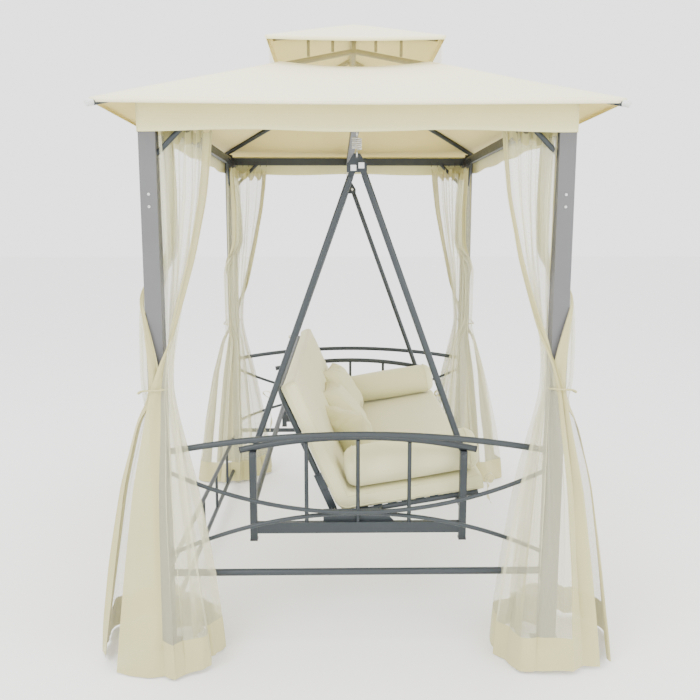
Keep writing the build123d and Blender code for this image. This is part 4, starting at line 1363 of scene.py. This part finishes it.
class MakeScrews(bpy.types.Operator):
    """Make the cross-head screws of the post joints and the bar brackets"""
    bl_idname = "swing_bench.make_screws"
    bl_label = "Make Screws"

    def execute(self, context):
        zinc = zinc_steel("Screw steel", (0.58, 0.58, 0.57))
        template = screw_shape()
        places = []
        turns = []
        low, high = node_box("frame_screws")
        middle = (low[2] + high[2]) / 2
        for side_x, side_y in CORNERS:
            for offset in (-0.02, 0.02):
                places.append((side_x * (POST[0] + POST_HALF), side_y * POST[1], middle + offset))
                turns.append((0, side_x * math.pi / 2, 0))
                places.append((side_x * POST[0], side_y * (POST[1] + POST_HALF), middle + offset))
                turns.append((-side_y * math.pi / 2, 0, 0))
        screws = copies_at("post_screws", places, turns, template, 1.0, zinc)
        finish_piece(screws, "gazebo", "bolt_steel", "frame_screws")
        self.tab_screws(zinc)
        return {"FINISHED"}

    def tab_screws(self, zinc):
        """Two screws through each end-panel bracket."""
        places = []
        turns = []
        tab = 0.004
        inner = POST[1] - POST_HALF - tab
        for height in (0.724, 0.655, 0.340, 0.275):
            for side_x, side_y in CORNERS:
                for offset in (-0.018, 0.018):
                    places.append((side_x * POST[0], side_y * inner, height + offset))
                    turns.append((side_y * math.pi / 2, 0, 0))
        screws = copies_at("bracket_screws", places, turns, screw_shape(), 0.6, zinc)
        finish_piece(screws, "gazebo", "bolt_steel")


def screw_shape():
    """Domed screw head about +Z with a cross recess."""
    points = [(0, 0, 0.0011)]
    sides = 24
    levels = ((0.0014, 0.0012), (0.0022, 0.0026), (0.0040, 0.0020), (0.0050, 0.0008), (0.0050, 0.0))
    for radius, height in levels:
        for step in range(sides):
            angle = 2 * math.pi * step / sides
            cross = 0.0009 * max(0.0, math.cos(4 * angle)) if radius < 0.003 else 0.0
            points.append((radius * math.cos(angle), radius * math.sin(angle), height - cross))
    faces = []
    for step in range(sides):
        faces.append((0, 1 + step, 1 + (step + 1) % sides))
    for level in range(len(levels) - 1):
        for step in range(sides):
            a = 1 + level * sides + step
            b = 1 + level * sides + (step + 1) % sides
            faces.append((a, a + sides, b + sides, b))
    faces.append(tuple(1 + (len(levels) - 1) * sides + step for step in range(sides - 1, -1, -1)))
    obj = new_mesh("screw", points, faces)
    face_out(obj)
    return obj


class PaintFrame(bpy.types.Operator):
    """Give every CAD part its finish"""
    bl_idname = "swing_bench.paint_frame"
    bl_label = "Paint Frame"

    def execute(self, context):
        finish = context.scene.swing_finish
        coats = {
            "frame_paint": powder_coat("Slate powder coat", finish.coat),
            "black_plastic": moulded_plastic("Black moulded plastic", finish.plastic),
            "clear_cap": moulded_plastic("Frosted cap plastic", (0.62, 0.66, 0.62), 0.3),
            "zinc_wire": zinc_steel("Zinc wire", (0.62, 0.62, 0.60)),
            "bolt_steel": two_tone_bolts("Bolt steel", (0.74, 0.74, 0.73), finish.coat),
        }
        # The posts get a lighter grey: painted haze of the white sheer curtain over the same slate coat.
        post_coat_painted_haze = powder_coat("Post powder coat", finish.post)
        for part in frame["record"]["subparts"]:
            if part["material_slot"] in coats:
                obj = frame["nodes"][part["node"]]
                material = post_coat_painted_haze if part["node"] in POST_NODES else coats[part["material_slot"]]
                if not obj.material_slots:
                    obj.data.materials.append(material)
                for slot in obj.material_slots:
                    slot.material = material
        return {"FINISHED"}


# ------------------------------------------------------------------ stage

class SetStage(bpy.types.Operator):
    """Set the floor, the world, the lights and the camera"""
    bl_idname = "swing_bench.set_stage"
    bl_label = "Set Stage"

    def execute(self, context):
        stage = context.scene.swing_stage
        self.make_floor()
        self.make_lights(context)
        camera = bpy.data.cameras.new("Camera")
        camera.lens = stage.lens
        camera.sensor_width = 36
        camera.clip_end = 100
        obj = bpy.data.objects.new("Camera", camera)
        context.collection.objects.link(obj)
        look = Vector((math.cos(stage.pitch) * math.cos(stage.yaw), -math.cos(stage.pitch) * math.sin(stage.yaw),
                       -math.sin(stage.pitch)))
        obj.location = stage.eye
        obj.rotation_euler = look.to_track_quat("-Z", "Y").to_euler()
        context.scene.camera = obj
        return {"FINISHED"}

    def make_floor(self):
        """Pale flat floor, 80 m square."""
        material = start_material("Pale floor", (0.93, 0.93, 0.925), 0.7)
        grain = noise(material, 2.0, 3.0)
        feed(material, "Base Color", vary_colour(material, (0.93, 0.93, 0.925), grain.outputs["Fac"], 0.01))
        points = [(x, y, -0.0005) for x, y in ((-40, -40), (40, -40), (40, 40), (-40, 40))]
        floor = new_mesh("studio_floor", points, [(0, 1, 2, 3)], smooth=False)
        set_material(floor, material)

    def make_lights(self, context):
        world = bpy.data.worlds.new("Studio")
        world.use_nodes = True
        world.node_tree.nodes["Background"].inputs["Color"].default_value = (1.0, 1.0, 1.0, 1)
        world.node_tree.nodes["Background"].inputs["Strength"].default_value = 2.5
        context.scene.world = world
        for name, place, size, power, target in (
                ("Key", (-4.5, 3.0, 4.8), 3.0, 260, (0, 0, 1.2)),
                ("Fill", (-4.0, -4.0, 2.6), 3.0, 120, (0, 0, 1.0)),
                ("Top", (0.0, 0.0, 6.0), 4.0, 120, (0, 0, 0))):
            lamp = bpy.data.lights.new(name, "AREA")
            lamp.size = size
            lamp.energy = power
            obj = bpy.data.objects.new(name, lamp)
            context.collection.objects.link(obj)
            obj.location = place
            obj.rotation_euler = (Vector(target) - Vector(place)).to_track_quat("-Z", "Y").to_euler()


class SwingBenchPanel(bpy.types.Panel):
    """Lists the settings and the steps"""
    bl_idname = "VIEW3D_PT_swing_bench"
    bl_label = "Swing Bench"
    bl_space_type = "VIEW_3D"
    bl_region_type = "UI"
    bl_category = "Swing Bench"

    def draw(self, context):
        for name, group in SETTINGS:
            box = self.layout.box()
            for key in group.__annotations__:
                box.prop(getattr(context.scene, name), key)
        for step in STEPS:
            self.layout.operator(step.bl_idname)


STEPS = (PaintFrame, MakeRoof, MakeCurtains, MakeMattress, MakeBolsters, MakePillows, MakeRibbons, MakeSprings,
         MakeScrews, SetStage)
CLASSES = tuple(group for _, group in SETTINGS) + STEPS + (SwingBenchPanel,)


def register():
    for cls in CLASSES:
        bpy.utils.register_class(cls)
    for name, group in SETTINGS:
        setattr(bpy.types.Scene, name, bpy.props.PointerProperty(type=group))


def unregister():
    for name, _ in SETTINGS:
        delattr(bpy.types.Scene, name)
    for cls in reversed(CLASSES):
        bpy.utils.unregister_class(cls)


def main():
    register()
    for step in STEPS:
        group, operator = step.bl_idname.split(".")
        getattr(getattr(bpy.ops, group), operator)()


if __name__ == "__main__":
    main()
